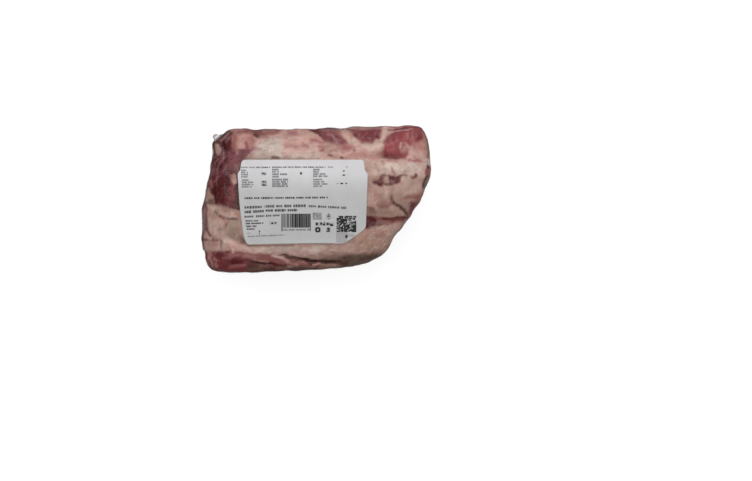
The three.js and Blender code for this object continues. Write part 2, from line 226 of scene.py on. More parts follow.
LEFT_END = [
    Patch("fat_peach", 2, [(-112, 70), (112, 70), (112, 30), (-112, 30)]),
    Patch("lean_maroon", 1.3, [
        (-112, 3), (-112, 72), (-76, 72), (-75.5, 58), (-74.5, 52), (-74, 46), (-66, 44.2), (-60, 44.5),
        (-56, 43.5), (-57.5, 40), (-62, 36.5), (-64, 30), (-66, 20), (-66, -11.4), (-76, -10), (-81, -8.6),
        (-84, -6.8), (-90.4, -6), (-91, -1), (-93, 3.4), (-97.4, 6),
    ]),
    Patch("lean_purple", 2.0, [
        (-82, 44), (-62, 44), (-66, 34), (-69, 24), (-76, 26), (-84, 24), (-84, 36),
    ], 0.8),
    Patch("lean_magenta", 2.4, [(-79, 42), (-68, 42), (-64, 37), (-68, 31), (-76, 33)], 0.5),
    Patch("lean_umber", 1.5, [(-85, 51), (-87, 68), (-74, 68), (-74, 57), (-79, 52), (-83, 50.5)]),
    Patch("fat_umber", 1.2, [(-95, 50.6), (-96, 62), (-87, 60), (-84.6, 55), (-86, 51), (-90, 50)]),
    Streak("gap_brown", 1.0, 1.4, [(-89.4, 51.6), (-87.6, 50.2)], 0.9),
    Streak("veil_rose", 0.5, 1.2, [(-84.5, 51.5), (-81, 56), (-77.5, 60)], 0.8),
    Streak("gap_brown", 0.9, 1.1, [
        (-88.4, 52.8), (-84.6, 55.8), (-80.6, 58.8), (-76.6, 60.8), (-72, 61.8),
    ], 0.9),
    Patch("lean_black", 1.3, [(-86, 50), (-82, 51), (-79.8, 48.5), (-80.6, 44.5), (-83.5, 42), (-86, 44)]),
    Patch("fat_tan", 0.9, [(-91, 49.6), (-88, 49.6), (-85.6, 45), (-85.2, 41), (-87.5, 38.8), (-90.4, 40)]),
    Streak("lean_dusty", 1.0, 1.4, [(-94.4, 15), (-93.4, 10.6)], 0.8),
    Streak("lean_umber", 0.6, 0.9, [(-92.2, 50), (-91.6, 44), (-90.4, 39.4), (-87.5, 37.8), (-84.6, 39)]),
    Patch("lean_black", 1.4, [
        (-91.6, 38), (-86, 38), (-83.5, 34.5), (-85.5, 30), (-88, 25.5), (-89.6, 27), (-90.5, 32),
    ]),
    Streak("lean_purple", 0.6, 1.0, [(-89, 36.5), (-87.4, 33), (-88.6, 29.5)]),
    Patch("lean_deep", 1.5, [(-91.8, 11), (-88, 15), (-81, 14), (-79.6, 5), (-79, -6), (-90, -5), (-92, 2)]),
    Streak("lean_black", 1.0, 1.8, [(-91.2, 9), (-89.4, 1), (-88.6, -3)], 0.8),
    Patch("lean_black", 2.4, [(-84, 22), (-78, 22), (-77, 13), (-82, 13)], 0.6),
    Patch("lean_red", 1.8, [(-78, 11), (-73, 11), (-72, -1), (-77, -5), (-80, -3)]),
    Streak("lean_deep", 1.4, 2.0, [(-77.6, 5), (-77, -3)], 0.6),
    Patch("lean_umber", 1.8, [(-82, -7), (-76, -8), (-69, -7), (-69, -12), (-77, -11), (-82, -9)], 0.9),
    Patch("fat_mauve", 2.0, [(-73, 31), (-68, 31), (-69, 24), (-71, 24)], 0.4),
    Patch("fat_tan", 1.1, [(-77.2, 21.4), (-72, 22.4), (-70, 17), (-71.4, 12), (-74, 12.6), (-76.4, 16)]),
    # Painted shadow along the label's left edge.
    Streak("gap_brown", 0.5, 1.1, [(-70.3, 21), (-70, 10), (-69.4, -4), (-68.8, -10)]),
    Streak("lean_black", 1.0, 1.2, [(-71, 12), (-70.6, 4), (-69.8, -5), (-69.2, -9.4)], 0.9),
    Streak("fat_clay", 0.9, 1.6, [(-96.6, 8.6), (-95, 4), (-93.6, 1.4)]),
    Streak("fat_mauve", 0.5, 1.1, [(-94.6, 34), (-96, 22), (-98.4, 12), (-99.6, 4)], 0.7),
    # Pale streaks over the left end's lean: painted highlights of the film.
    Streak("veil_rose", 0.35, 0.9, [(-83.6, 39), (-82.6, 43)], 0.9),
    Streak("veil_rose", 0.35, 0.9, [(-84, 32.6), (-82.6, 36.8)], 0.9),
    Strokes("veil_rose", 26, 62, 14, 6, 0.18, [
        (-94, 14), (-94, 34), (-86, 50), (-78, 60), (-75, 58), (-76, 40), (-78, 28), (-84, 22), (-88, 18),
    ], 0.45),
    Strokes("lean_black", 22, 60, 20, 5, 0.3, [(-92, 20), (-84, 50), (-77, 56), (-78, 20)], 0.5),
    Strokes("lean_magenta", 16, 60, 30, 3.5, 0.25, [
        (-92, 16), (-84, 42), (-66, 42), (-71, 22), (-80, 18),
    ], 0.45),
    Strokes("lean_red", 14, 84, 16, 6, 0.3, [(-92, 10), (-72, 10), (-71, -5), (-90, -4)], 0.4),
]

UPPER_LEFT = [
    Patch("fat_pink", 3.2, [
        (-72, 56), (-70, 58), (-60, 58), (-56, 57), (-54, 51), (-54, 46), (-58, 46),
        (-63, 47), (-68, 47), (-71, 49), (-71, 52),
    ]),
    Patch("fat_peach", 3.0, [(-68, 55), (-63, 56), (-62, 51), (-64, 48), (-69, 48)], 0.9),
    Streak("fat_pink", 0.8, 2.0, [(-70.6, 47.4), (-71.4, 44.6), (-70.4, 41)], 0.7),
    Streak("lean_dusty", 1.2, 2.4, [(-73, 57), (-73.2, 51), (-73.6, 45)]),
    Patch("lean_dusty", 1.8, [(-73, 60), (-60, 60), (-57, 58), (-66, 58), (-72, 58)], 0.6),
    Streak("lean_dusty", 1.1, 2.2, [(-56.8, 55.4), (-56, 51), (-56.4, 47)], 0.5),
    # Violet patch: painted sheen of the film over the lean.
    Patch("lean_magenta", 2.0, [(-68, 44), (-60, 46), (-55, 45), (-57, 41), (-62, 38), (-66, 38)], 0.7),
    Patch("lean_purple", 1.8, [(-68, 44), (-62, 44), (-59, 40), (-62, 37), (-68, 35)]),
    Streak("lean_magenta", 0.9, 1.8, [(-62.6, 50), (-61.6, 46.6), (-62, 44.4)], 0.9),
    Patch("fat_mauve", 1.8, [(-64, 35), (-61, 39), (-57, 41), (-54, 41), (-54, 35)], 0.9),
    # Painted highlight of the film.
    Streak("shine_lilac", 0.8, 1.0, [(-57.2, 41.6), (-55.2, 41.6)], 0.8),
    Patch("fat_grey", 2.2, [
        (-54, 34), (-55, 38), (-54, 46), (-52, 51), (-46, 54), (-36, 56), (-30, 55), (-28, 44), (-30, 34),
    ]),
    Streak("lean_dusty", 0.8, 2.4, [(-55, 45.4), (-50, 44.8)], 0.5),
    Patch("fat_olive", 2.6, [(-53, 39), (-42, 39), (-41, 36), (-54, 36)], 0.45),
    Patch("lean_mauve", 1.8, [
        (-77, 72), (-76, 61), (-70, 59), (-60, 59), (-54, 57), (-49, 55), (-44, 57), (-34, 58), (-31, 60),
        (-31, 72),
    ], 0.9),
    Streak("fat_pink", 0.6, 1.4, [(-76, 61.4), (-66, 61.8), (-60, 61)], 0.9),
    Streak("lean_umber", 0.9, 1.8, [(-54, 57.6), (-52.2, 56.2)], 0.9),
    Streak("fat_mauve", 0.8, 2.2, [(-46.4, 60.6), (-42, 60.8), (-38, 61.4)], 0.8),
    Patch("lean_dusty", 2.2, [(-47, 57), (-42, 57), (-42, 54), (-46, 53)], 0.5),
    # Painted shadow: the dark line along the label's upper edge.
    Streak("fat_umber", 0.9, 1.3, [(-39, 37), (-36, 37.2), (-33, 36.6)]),
    Streak("fat_umber", 0.3, 0.9, [(-66, 35.7), (-50, 35.5), (-20, 35.7), (4, 35.8)], 0.6),
    Streak("fat_umber", 0.4, 1.2, [(-31, 37), (-19, 37), (-11, 36.6)], 0.6),
    Patch("fat_salmon", 2.4, [
        (-29, 48), (-24, 51), (-14, 50), (-8, 48), (-7, 46), (-14, 44), (-22, 44), (-28, 44),
    ]),
    Streak("lean_dusty", 0.7, 2.2, [(-26.6, 48), (-20, 46.6), (-13, 46.6)], 0.5),
    Streak("lean_rose", 1.1, 2.0, [(-9.6, 47.6), (-7.4, 46)], 0.8),
    Patch("fat_blush", 2.4, [(-24, 58), (-14, 59), (-12, 54), (-15, 50), (-20, 50), (-23, 54)]),
    Patch("lean_rose", 2.0, [(-25, 60), (-17, 61), (-17, 58), (-20, 57), (-25, 58)], 0.9),
    Patch("lean_rose", 2.2, [(-5, 54), (2, 54), (5, 51), (4, 50), (-5, 50)], 0.9),
    Patch("fat_blush", 2.4, [(-26, 43), (-10, 45), (-4, 44), (-8, 41), (-24, 41)], 0.7),
    Patch("fat_grey", 2.6, [(-22, 40), (3, 41), (5, 37), (-22, 36)], 0.8),
    Strokes("lean_dusty", 20, 6, 16, 4, 0.25, [(-56, 57), (-10, 60), (-6, 42), (-30, 40), (-52, 40)], 0.3),
    Strokes("fat_pale", 22, 8, 18, 5, 0.25, [(-54, 54), (-10, 57), (-4, 40), (-52, 38)], 0.3),
    Strokes("lean_umber", 10, 4, 8, 4, 0.25, [(-76, 61.6), (-34, 61.6), (-44, 58), (-60, 59)], 0.4),
]

UPPER_MIDDLE = [
    Patch("lean_mauve", 1.6, [
        (-8, 72), (18, 72), (21, 60), (25, 55), (28, 50), (26, 48), (20, 48), (14, 50), (8, 51), (6, 54),
        (3, 58), (-2, 60), (-6, 61),
    ]),
    Patch("lean_red", 1.4, [(-7, 66), (5, 66), (5.6, 61), (2, 58.8), (-3, 61)]),
    Streak("lean_maroon", 0.6, 0.9, [(-4, 61.6), (0, 60.2), (3, 58.6), (4.8, 57)], 0.9),
    Patch("lean_dusty", 1.2, [(5.4, 62.4), (22, 62.4), (24, 59.4), (18, 59.4), (6, 60.2)], 0.7),
    Streak("lean_maroon", 0.6, 0.9, [(5, 63.4), (12, 63.8), (19, 63.2)], 0.9),
    # Painted highlight of the film's fold.
    Streak("veil_rose", 0.7, 1.2, [(15.4, 57), (17.6, 53.4), (20.6, 48.6)], 0.9),
    Streak("lean_umber", 0.9, 1.5, [(26, 52.6), (28.4, 50.2)], 0.6),
    Patch("lean_rose", 2.2, [(25, 49), (30, 49), (35, 46), (34, 43), (28, 43), (24, 45)]),
    Patch("lean_dusty", 2.4, [(19, 48), (26, 48), (26, 44), (20, 45)], 0.7),
    Patch("fat_mauve", 2.4, [(8, 51), (18, 49), (20, 46), (9, 46)], 0.7),
    Patch("fat_clay", 2.4, [(9, 46), (20, 45), (27, 43), (26, 38), (8, 40)], 0.5),
    Streak("lean_dusty", 0.8, 1.8, [(10, 40.4), (13, 38.6), (19, 37.6)], 0.6),
    Patch("lean_rose", 1.6, [(3, 52), (8, 51), (8, 46), (3, 47)], 0.8),
    Patch("lean_dusty", 1.2, [(2.8, 47.2), (8.6, 47.2), (8, 42.2), (3.6, 42.2)]),
    Streak("lean_umber", 0.6, 0.9, [(11.8, 38.8), (14.6, 38.6)], 0.9),
    Streak("veil_rose", 0.5, 1.2, [(5, 61.8), (20, 62)], 0.6),
    Streak("lean_umber", 0.9, 1.0, [(22.8, 37.4), (24, 36.8)], 0.9),
    Streak("lean_umber", 0.7, 1.3, [(35, 43.4), (35.6, 42.8)], 0.9),
    Patch("fat_pink", 2.4, [(34, 41), (46, 42), (52, 38), (44, 37), (32, 38)], 0.8),
    Patch("fat_cream", 1.6, [
        (24, 72), (30, 72), (34, 58), (39, 51), (44, 50), (52, 50), (57, 53), (60, 57), (60, 72),
        (68, 72), (68, 59), (63, 53), (62, 46), (58, 43), (50, 43), (44, 45), (37, 47), (31, 50), (28, 56),
    ]),
    Streak("lean_dusty", 1.4, 2.0, [(30, 61.6), (33, 56)], 0.6),
    Streak("fat_pink", 1.2, 2.4, [(40, 46), (45, 43)], 0.8),
    Patch("lean_mauve", 1.7, [
        (29, 63), (31, 61), (35, 57), (39, 52), (42, 50), (46, 50), (52, 50), (54, 53), (58, 55),
        (60, 60), (60, 63),
    ]),
    Patch("lean_red", 2.6, [(40, 61), (42, 53), (50, 52), (52, 56), (53, 62)], 0.6),
    Streak("lean_umber", 1.0, 2.0, [(36, 57), (38.4, 55.6)], 0.8),
    Streak("lean_umber", 0.8, 1.4, [(55, 57), (57.4, 55.2)], 0.9),
    Streak("fat_mauve", 0.5, 1.2, [(30, 64.6), (40, 64.2), (48, 64), (54, 64.4)], 0.9),
    Streak("fat_umber", 0.5, 1.0, [(52, 64.6), (60, 64.4)], 0.6),
    Strokes("lean_rose", 12, 84, 12, 5, 0.22, [(32, 62), (58, 62), (52, 51), (42, 51)], 0.4),
    Strokes("lean_umber", 12, 70, 30, 3, 0.3, [(32, 62), (58, 62), (52, 51), (42, 51)], 0.35),
    Strokes("fat_pink", 12, -52, 10, 5, 0.2, [(4, 60), (24, 60), (27, 50), (14, 51)], 0.45),
    Strokes("lean_umber", 12, -52, 12, 4, 0.25, [(4, 60), (24, 60), (27, 50), (14, 51)], 0.4),
    Strokes("lean_dusty", 20, 8, 24, 4, 0.25, [(-8, 50), (24, 46), (58, 42), (58, 36), (-8, 38)], 0.35),
    Strokes("fat_pale", 18, 4, 24, 4, 0.22, [(-8, 48), (24, 44), (58, 48), (58, 38), (-8, 38)], 0.35),
]

BRIGHT_MUSCLE = [
    Patch("lean_bright", 1.2, [
        (67, 57), (70, 60), (72, 72), (106, 72), (106, 52), (98, 50.5), (92, 50), (87, 48.4), (83.6, 44),
        (84, 40), (81, 36.6), (74, 35.4), (67, 35), (60.6, 37), (60.4, 41), (62.2, 46), (62.2, 50), (64, 54),
    ]),
    Patch("lean_red", 3.0, [(60, 43), (63, 44), (68, 40), (79, 39), (80, 36), (66, 35)], 0.8),
    Patch("lean_maroon", 2.4, [(59, 41), (63, 40), (68, 38), (76, 37), (72, 35), (66, 34), (58, 37)], 0.8),
    Patch("lean_mauve", 2.4, [(62, 50), (64, 57), (69, 60), (81, 62), (80, 59), (71, 55), (66, 50)], 0.9),
    Streak("lean_dusty", 1.0, 2.4, [(56.6, 40), (60, 40)], 0.7),
    # Pink-rose patch: a painted highlight.
    Patch("lean_rose", 2.4, [(80, 53), (83, 61), (90, 61), (92, 53)]),
    Patch("lean_red", 2.0, [(88, 66), (97, 66), (99, 57), (95, 51), (91, 53), (89, 57)], 0.9),
    Patch("fat_pink", 2.4, [(87, 51), (93, 51), (97, 52), (100, 44), (99, 40), (90, 41), (87, 44)]),
    # Painted glare of the film on the bright muscle: the pale patch and the pale strokes over it.
    Patch("lean_rose", 2.0, [(76, 51), (83, 51), (87, 47), (85, 42), (77, 41)]),
    Streak("fat_pink", 1.2, 2.2, [(79, 44), (81, 47)], 0.7),
    Streak("fat_blush", 0.6, 1.2, [(77, 50), (76.9, 45.8)], 0.9),
    Streak("fat_blush", 0.5, 1.2, [(82, 50.2), (84.2, 46)], 0.9),
    # Along the film's fold at the muscle's upper edge, the pale pink streaks are painted highlights.
    Streak("lean_maroon", 0.5, 1.0, [(66, 61.8), (78, 63), (90, 64.6)], 0.8),
    Streak("fat_blush", 0.35, 0.8, [(69, 60.6), (76, 61.1), (87, 62.8)], 0.9),
    Streak("lean_magenta", 0.4, 0.8, [(70, 61.4), (78, 62), (88, 63.6)], 0.6),
    Streak("fat_pink", 0.4, 0.9, [(66, 63.8), (80, 65), (90, 65.8)], 0.9),
    Patch("lean_rose", 2.4, [(86, 58), (90, 65), (96, 64), (97, 58), (92, 56)], 0.4),
    Patch("fat_blush", 1.8, [(85, 42), (86, 47), (90, 46), (97, 42), (99, 36), (84, 36)]),
    Patch("fat_mauve", 1.6, [(96, 60), (102, 52), (105, 38), (104, 30), (100, 31), (99, 42), (98, 50)], 0.9),
    Streak("lean_umber", 0.4, 1.4, [(100.6, 54), (102, 44), (102.6, 34)], 0.6),
    Strokes("lean_rose", 14, 84, 14, 5, 0.25, [(66, 56), (90, 61), (86, 52), (74, 38), (62, 40)], 0.4),
    Strokes("lean_red", 12, 80, 16, 5, 0.3, [(64, 52), (92, 62), (86, 54), (72, 38)], 0.5),
    Strokes("fat_pink", 10, 78, 16, 4, 0.2, [(80, 58), (96, 60), (98, 40), (86, 42)], 0.4),
]

RIGHT_END = [
    Patch("fat_cream", 1.8, [
        (42, 36), (60, 34), (70, 34), (84, 35), (106, 35), (106, 20), (96, 19), (78, 20), (60, 20), (42, 20),
    ]),
    Patch("fat_tan", 3.0, [(44, 32), (49, 31), (51, 26), (50, 20), (44, 20)], 0.5),
    Streak("fat_pink", 1.2, 2.2, [(50, 36.6), (57, 36.4)], 0.7),
    Patch("fat_pale", 3.0, [(62, 34), (72, 33), (90, 32), (92, 26), (88, 22), (75, 22), (67, 25), (62, 29)]),
    Streak("fat_mauve", 0.9, 1.6, [(60.4, 33.4), (61.8, 31.6)], 0.8),
    Streak("fat_pink", 0.9, 1.8, [(64, 34), (73, 33.6)], 0.7),
    Streak("fat_clay", 0.7, 1.6, [(53.6, 31), (56, 28), (57.6, 25)], 0.7),
    Streak("fat_clay", 0.6, 1.4, [(68.6, 27.6), (70, 24.6), (72, 21.6)]),
    # Painted glint of the film.
    Streak("shine_white", 0.7, 1.2, [(91, 29.6), (92.6, 27), (95.6, 26.4)], 0.9),
    Streak("lean_rose", 0.7, 1.4, [(85, 34.8), (89.6, 33.6), (92, 34.6), (95.4, 33.6)], 0.9),
    Patch("fat_pale", 1.2, [(98.6, 36), (103.4, 36), (103.4, 29), (98.6, 28.6)]),
    Patch("lean_dusty", 1.0, [(100.6, 29), (112, 30), (112, 18), (100, 19.4), (98.8, 22), (99.4, 26)]),
    Streak("gap_black", 0.6, 0.8, [(101.4, 29.8), (102.4, 27.6)], 0.9),
    Patch("fat_umber", 1.4, [(99.6, 20), (112, 20), (112, 4), (95.4, 4), (97, 10), (98.6, 16)], 0.35),
    Patch("fat_tan", 1.8, [
        (42, 20), (60, 20), (78, 20), (92, 20), (98, 14), (95, 6), (92, 0), (88, -8), (82, -16),
        (56, -16), (42, -14),
    ]),
    Patch("fat_cream", 3.0, [(78, 18), (84, 18), (87, 10), (86, 4), (78, 6)], 0.4),
    Streak("gap_black", 0.8, 1.0, [(100.6, 19.8), (98.6, 16.4), (97.2, 13), (97.2, 10)], 0.8),
    Streak("fat_umber", 0.5, 1.1, [(76.6, 20.8), (79, 20.4), (82, 20.8)], 0.9),
    Patch("lean_purple", 1.3, [
        (51.4, 16), (57, 16.6), (58.8, 20), (62, 20.6), (62.6, 12.4), (58, 11), (52.6, 12.6),
    ], 0.9),
    Streak("lean_maroon", 0.7, 1.4, [(53, 13.8), (57, 12.6), (60.6, 12)]),
    Streak("lean_maroon", 0.6, 1.3, [(60.2, 19.4), (60.2, 14)], 0.9),
    Patch("lean_maroon", 1.2, [(66.6, 20.4), (77.4, 20.6), (77.2, 15), (73, 13), (67, 12.4)]),
    Streak("lean_umber", 0.6, 1.2, [(60, 20.4), (67, 20.2)], 0.8),
    # Painted shadow under the small bump.
    Streak("gap_brown", 1.0, 1.2, [(62.4, 13), (65, 12.4), (69, 12.8)]),
    Patch("fat_clay", 1.0, [(61.8, 18.6), (65.8, 18.8), (66.6, 16), (65.4, 14), (62.4, 14.4), (61.2, 16.4)]),
    Streak("fat_cream", 0.8, 1.4, [(63.8, 17.4), (64.6, 16.2)], 0.5),
    Patch("fat_clay", 3.0, [(43, 16), (51, 15), (52, 6), (46, 5)], 0.5),
    Streak("fat_cream", 1.0, 2.4, [(62, 10), (64.4, 3)], 0.7),
    Streak("lean_dusty", 0.7, 2.4, [(68.6, 10), (68.6, 3), (68.4, -1)], 0.5),
    Streak("lean_maroon", 1.1, 1.2, [(87.8, 18.6), (90, 19.4), (91, 21.4)], 0.9),
    Streak("fat_mauve", 0.9, 2.2, [(82, 9), (86, 12), (88.4, 15)], 0.7),
    Patch("lean_dusty", 2.0, [(90, 4), (99, 5), (98, -1), (92, -3), (88, 0)], 0.9),
    Streak("lean_dusty", 0.8, 2.0, [(81, 0.4), (85, 1.4), (90, 0.8)], 0.9),
    Patch("fat_peach", 2.4, [(47, 2), (55, 2), (54, -5), (47, -5)], 0.8),
    Patch("lean_dusty", 2.2, [(55, -6), (61, -5), (68, -4), (71, -5), (66, -9), (57, -9)]),
    Patch("lean_umber", 2.2, [(56, -7), (62, -5), (68, -5), (66, -9), (58, -10)], 0.5),
    Streak("lean_umber", 0.9, 1.6, [(68.6, 0.6), (69.4, -2.6), (71, -4.8)], 0.7),
    # Painted shade in the crease.
    Streak("fat_umber", 1.1, 1.6, [(71, -4.6), (76, -7.6), (80, -10.6), (82.4, -14)]),
    Streak("gap_brown", 0.6, 1.0, [(70.6, -4.4), (75, -7.2), (78.6, -9.6), (81.4, -12.6), (83, -15.4)], 0.8),
    Patch("fat_umber", 2.4, [(57, -9), (66, -10), (71, -12), (70, -16), (57, -16)], 0.5),
    Patch("lean_red", 2.0, [(86, -3), (92, -3), (90, -12), (87, -19), (84, -15), (85, -8)]),
    Patch("lean_maroon", 1.8, [(86, -4), (90, -5), (88, -9), (86, -9)], 0.7),
    # Painted shade beside the label's right edge.
    Patch("fat_umber", 2.6, [(46, -8), (51, -8), (55, -11), (55, -15), (46, -15)], 0.9),
    Streak("gap_brown", 0.7, 1.2, [(48, -8.4), (52, -9)], 0.7),
    Strokes("fat_pale", 26, 76, 26, 5, 0.25, [(46, 34), (98, 32), (92, 4), (60, -4), (46, 0)], 0.35),
    Strokes("fat_mauve", 26, 70, 34, 4, 0.25, [(46, 34), (98, 32), (92, 4), (60, -14), (46, -4)], 0.4),
    Strokes("lean_dusty", 14, 20, 40, 3, 0.25, [(50, 30), (96, 30), (90, 2), (56, -12)], 0.3),
    Streak("lean_maroon", 1.5, 1.6, [(69, 17.8), (72, 16.8), (75, 17.6)], 0.8),
]

LEFT_FAT = [
    Patch("fat_tan", 1.2, [
        (-112, 5), (-97, 6), (-93.4, 2), (-91.6, -2), (-90.4, -5.4), (-84, -6.4), (-78, -9.4), (-62, -11.4),
        (-62, -34), (-58, -43), (-64, -46), (-76, -45.5), (-88, -46), (-97, -45), (-112, -45),
    ]),
    Streak("lean_umber", 0.7, 1.6, [(-98, -3.6), (-94, -3.6), (-91, -5.2), (-85, -6.8), (-79, -9.4)], 0.7),
    Patch("fat_umber", 1.2, [(-97, -0.6), (-91.6, -0.4), (-91, -4.8), (-97, -4.8)]),
    Patch("fat_grey", 1.6, [(-96, -6), (-89, -7), (-87, -10), (-90, -11), (-96, -10)], 0.5),
    Patch("fat_mauve", 1.6, [(-96, -12), (-90, -11), (-87, -15), (-90, -17), (-96, -17)], 0.9),
    # Light band above the crease: a painted highlight.
    Patch("fat_cream", 1.6, [(-86, -11), (-77, -12), (-70, -14), (-70, -17), (-78, -17), (-85, -14)], 0.7),
    Patch("fat_mauve", 1.6, [(-84, -7), (-77, -10), (-69, -11), (-69, -13), (-77, -12), (-84, -10)], 0.8),
    Patch("fat_grey", 2.6, [(-96, -19), (-85, -20), (-84, -27), (-90, -33), (-96, -30)], 0.4),
    Patch("fat_olive", 2.8, [(-78, -20), (-69, -20), (-66, -33), (-70, -36), (-79, -35), (-83, -30)], 0.9),
    # Painted shadow near the label's lower left corner.
    Patch("fat_umber", 2.4, [(-79, -32), (-72, -33), (-67, -35), (-60, -42), (-64, -42), (-74, -37)], 0.7),
    Patch("fat_mauve", 2.0, [(-90, -8), (-80, -9), (-80, -12), (-88, -14)], 0.6),
    Patch("fat_tan", 2.4, [(-90, -18), (-83, -19), (-82, -26), (-88, -28)], 0.8),
    Streak("lean_dusty", 1.1, 1.6, [(-86, -16.6), (-80.6, -19.6), (-80.8, -24.4)]),
    # Painted shade in the crease.
    Streak("fat_umber", 0.8, 1.2, [(-90, -11.8), (-87.4, -15.2), (-84, -17.2), (-79, -18.6), (-70.6, -18.6)]),
    Streak("gap_brown", 0.4, 0.9, [(-86.6, -16), (-83.6, -17.4), (-79, -18.7), (-73, -18.9)], 0.7),
    Streak("fat_umber", 0.8, 1.8, [(-80.8, -24), (-82.6, -28), (-87.4, -28.4)], 0.6),
    Patch("fat_cream", 1.8, [(-85, -35), (-79, -36), (-75, -39), (-77, -41), (-83, -40)]),
    Patch("fat_blush", 2.0, [(-78, -38), (-72, -39), (-64, -43), (-64, -47), (-75, -46), (-77, -43)], 0.9),
    Streak("gap_brown", 0.6, 1.2, [(-101, -37), (-95, -38.2), (-88.6, -38.6)], 0.8),
    Streak("lean_umber", 0.4, 0.8, [(-85.4, -37.8), (-85.2, -45)], 0.7),
    Streak("fat_clay", 1.6, 2.0, [(-95, -41), (-89, -41)], 0.7),
    # Painted shadow near the label's lower left corner.
    Streak("fat_umber", 1.0, 1.8, [(-67, -34), (-64.6, -39), (-61.6, -42.6)], 0.9),
    # Painted shade: the dark band of the left rim, where the side turns away from the light.
    Patch("lean_umber", 0.9, [
        (-106, -1), (-99, -3), (-97.6, -8), (-97.4, -28), (-98.6, -30), (-101, -33), (-101, -50), (-106, -46),
    ], 0.8),
    Streak("lean_umber", 0.6, 0.9, [(-97.6, -28), (-96.6, -31.4), (-94, -34.6), (-91.6, -37)], 0.8),
    Streak("veil_rose", 0.6, 0.9, [(-100, -10), (-100.6, -22), (-100.4, -33)], 0.7),
    Streak("lean_maroon", 0.5, 0.9, [
        (-102.4, -5), (-103, -20), (-102.4, -36), (-100.6, -46), (-98, -52),
    ], 0.8),
    Strokes("fat_pale", 16, 80, 20, 5, 0.25, [
        (-96, -8), (-72, -12), (-68, -34), (-80, -38), (-96, -44),
    ], 0.3),
    Strokes("fat_mauve", 18, 84, 20, 4, 0.25, [
        (-96, -8), (-80, -12), (-80, -30), (-84, -44), (-96, -44),
    ], 0.4),
    Strokes("fat_clay", 12, -22, 16, 5, 0.25, [(-84, -34), (-64, -40), (-62, -46), (-84, -44)], 0.35),
]

LOWER_RIGHT = [
    Patch("fat_tan", 1.8, [
        (42, -26), (55, -22), (66, -21), (76, -19), (92, -18), (80, -34), (70, -50), (58, -62), (44, -46),
        (28, -42), (37, -34),
    ]),
    Patch("fat_mauve", 2.4, [(74, -22), (90, -18), (70, -50), (62, -56), (60, -48), (68, -36)], 0.6),
    Patch("fat_blush", 2.4, [(70, -24), (80, -24), (76, -30), (70, -28)], 0.5),
    Patch("lean_dusty", 2.2, [(53, -29), (61, -29), (62, -33), (55, -35)], 0.8),
    Patch("fat_sand", 3.0, [(36, -36), (46, -33), (55, -37), (58, -43), (48, -46), (34, -42)], 0.7),
    Patch("fat_mauve", 3.0, [(60, -36), (69, -34), (66, -44), (60, -48), (57, -42)], 0.7),
    Patch("fat_umber", 3.0, [(38, -45), (50, -46), (60, -46), (60, -52), (38, -50)], 0.5),
    Patch("lean_dusty", 1.2, [
        (54, -16.4), (60, -17), (68, -17.4), (84, -16), (84, -18.6), (76, -22), (66, -23.6), (56, -25),
    ]),
    Patch("lean_umber", 1.2, [(55, -17), (61, -18), (61, -23), (56, -24)], 0.6),
    Patch("lean_maroon", 1.0, [
        (44, -15.4), (50, -15.6), (54, -16.6), (55.6, -20), (55, -25), (51, -26), (44, -27.4),
    ]),
    Patch("lean_deep", 1.4, [(50, -16.6), (54, -18), (54.6, -22), (52, -24.6), (47, -25), (48, -21)]),
    Patch("lean_umber", 1.0, [(60.6, -17.8), (66, -18.2), (66.6, -21), (61, -21.6)]),
    Streak("lean_umber", 0.9, 1.8, [(47, -27), (53.4, -26)], 0.5),
    Streak("lean_maroon", 0.6, 0.8, [(61, -18.6), (66, -18.8), (71, -18), (77, -17.2), (83.6, -17.4)]),
    Streak("lean_umber", 0.5, 1.2, [(66, -20.6), (72, -19.8), (79, -19)], 0.9),
    Streak("lean_umber", 0.4, 1.2, [(56, -24), (61, -23.4), (66, -23.4)], 0.8),
    Patch("fat_tan", 2.0, [
        (-66, -41), (-40, -42), (0, -39), (26, -39), (34, -42), (48, -46), (60, -52), (30, -55),
        (0, -54), (-22, -52), (-36, -51), (-50, -50), (-64, -49),
    ]),
    Patch("fat_blush", 2.4, [
        (-66, -44), (-45, -44), (-22, -43), (-22, -48), (-34, -49), (-48, -49), (-66, -47),
    ]),
    Patch("fat_grey", 2.6, [
        (-64, -43), (-22, -43), (6, -42), (10, -45), (-10, -49), (-44, -49), (-62, -47),
    ], 0.7),
    Streak("fat_grey", 1.2, 2.8, [(0.6, -44), (0.4, -50)], 0.6),
    # Painted shadow under the label's lower edge.
    Streak("fat_umber", 0.4, 1.2, [(-62, -42.8), (-40, -42.6), (-20, -41.8)], 0.7),
    # Painted shade down the near side to its foot.
    Patch("fat_umber", 1.8, [
        (-2, -57), (3, -54), (12, -53), (24, -52), (34, -50), (46, -49), (60, -49), (66, -60), (40, -68),
        (0, -68),
    ], 0.8),
    Patch("gap_olive", 2.2, [
        (24, -52), (36, -51), (46, -50), (60, -50), (66, -60), (40, -68), (23, -66),
    ], 0.65),
    Streak("gap_brown", 0.9, 1.6, [(42, -54), (49, -53.4), (56, -51.6)], 0.4),
    Strokes("fat_pale", 26, 34, 18, 5, 0.25, [(34, -42), (60, -26), (76, -24), (60, -48), (40, -48)], 0.3),
    Strokes("fat_mauve", 22, 38, 20, 5, 0.25, [(34, -42), (60, -26), (76, -24), (60, -48), (40, -48)], 0.4),
    Strokes("lean_dusty", 10, 34, 20, 4, 0.25, [(36, -36), (56, -27), (70, -26), (60, -40)], 0.35),
    Strokes("fat_mauve", 26, -4, 12, 6, 0.25, [
        (-62, -43), (36, -42), (44, -48), (-20, -51), (-60, -47),
    ], 0.35),
    Strokes("fat_pale", 20, -3, 12, 6, 0.25, [(-62, -43), (36, -42), (44, -48), (-20, -51), (-60, -47)], 0.3),
    Strokes("gap_brown", 16, 14, 14, 5, 0.25, [(10, -53), (56, -52), (50, -57), (10, -59)], 0.35),
]

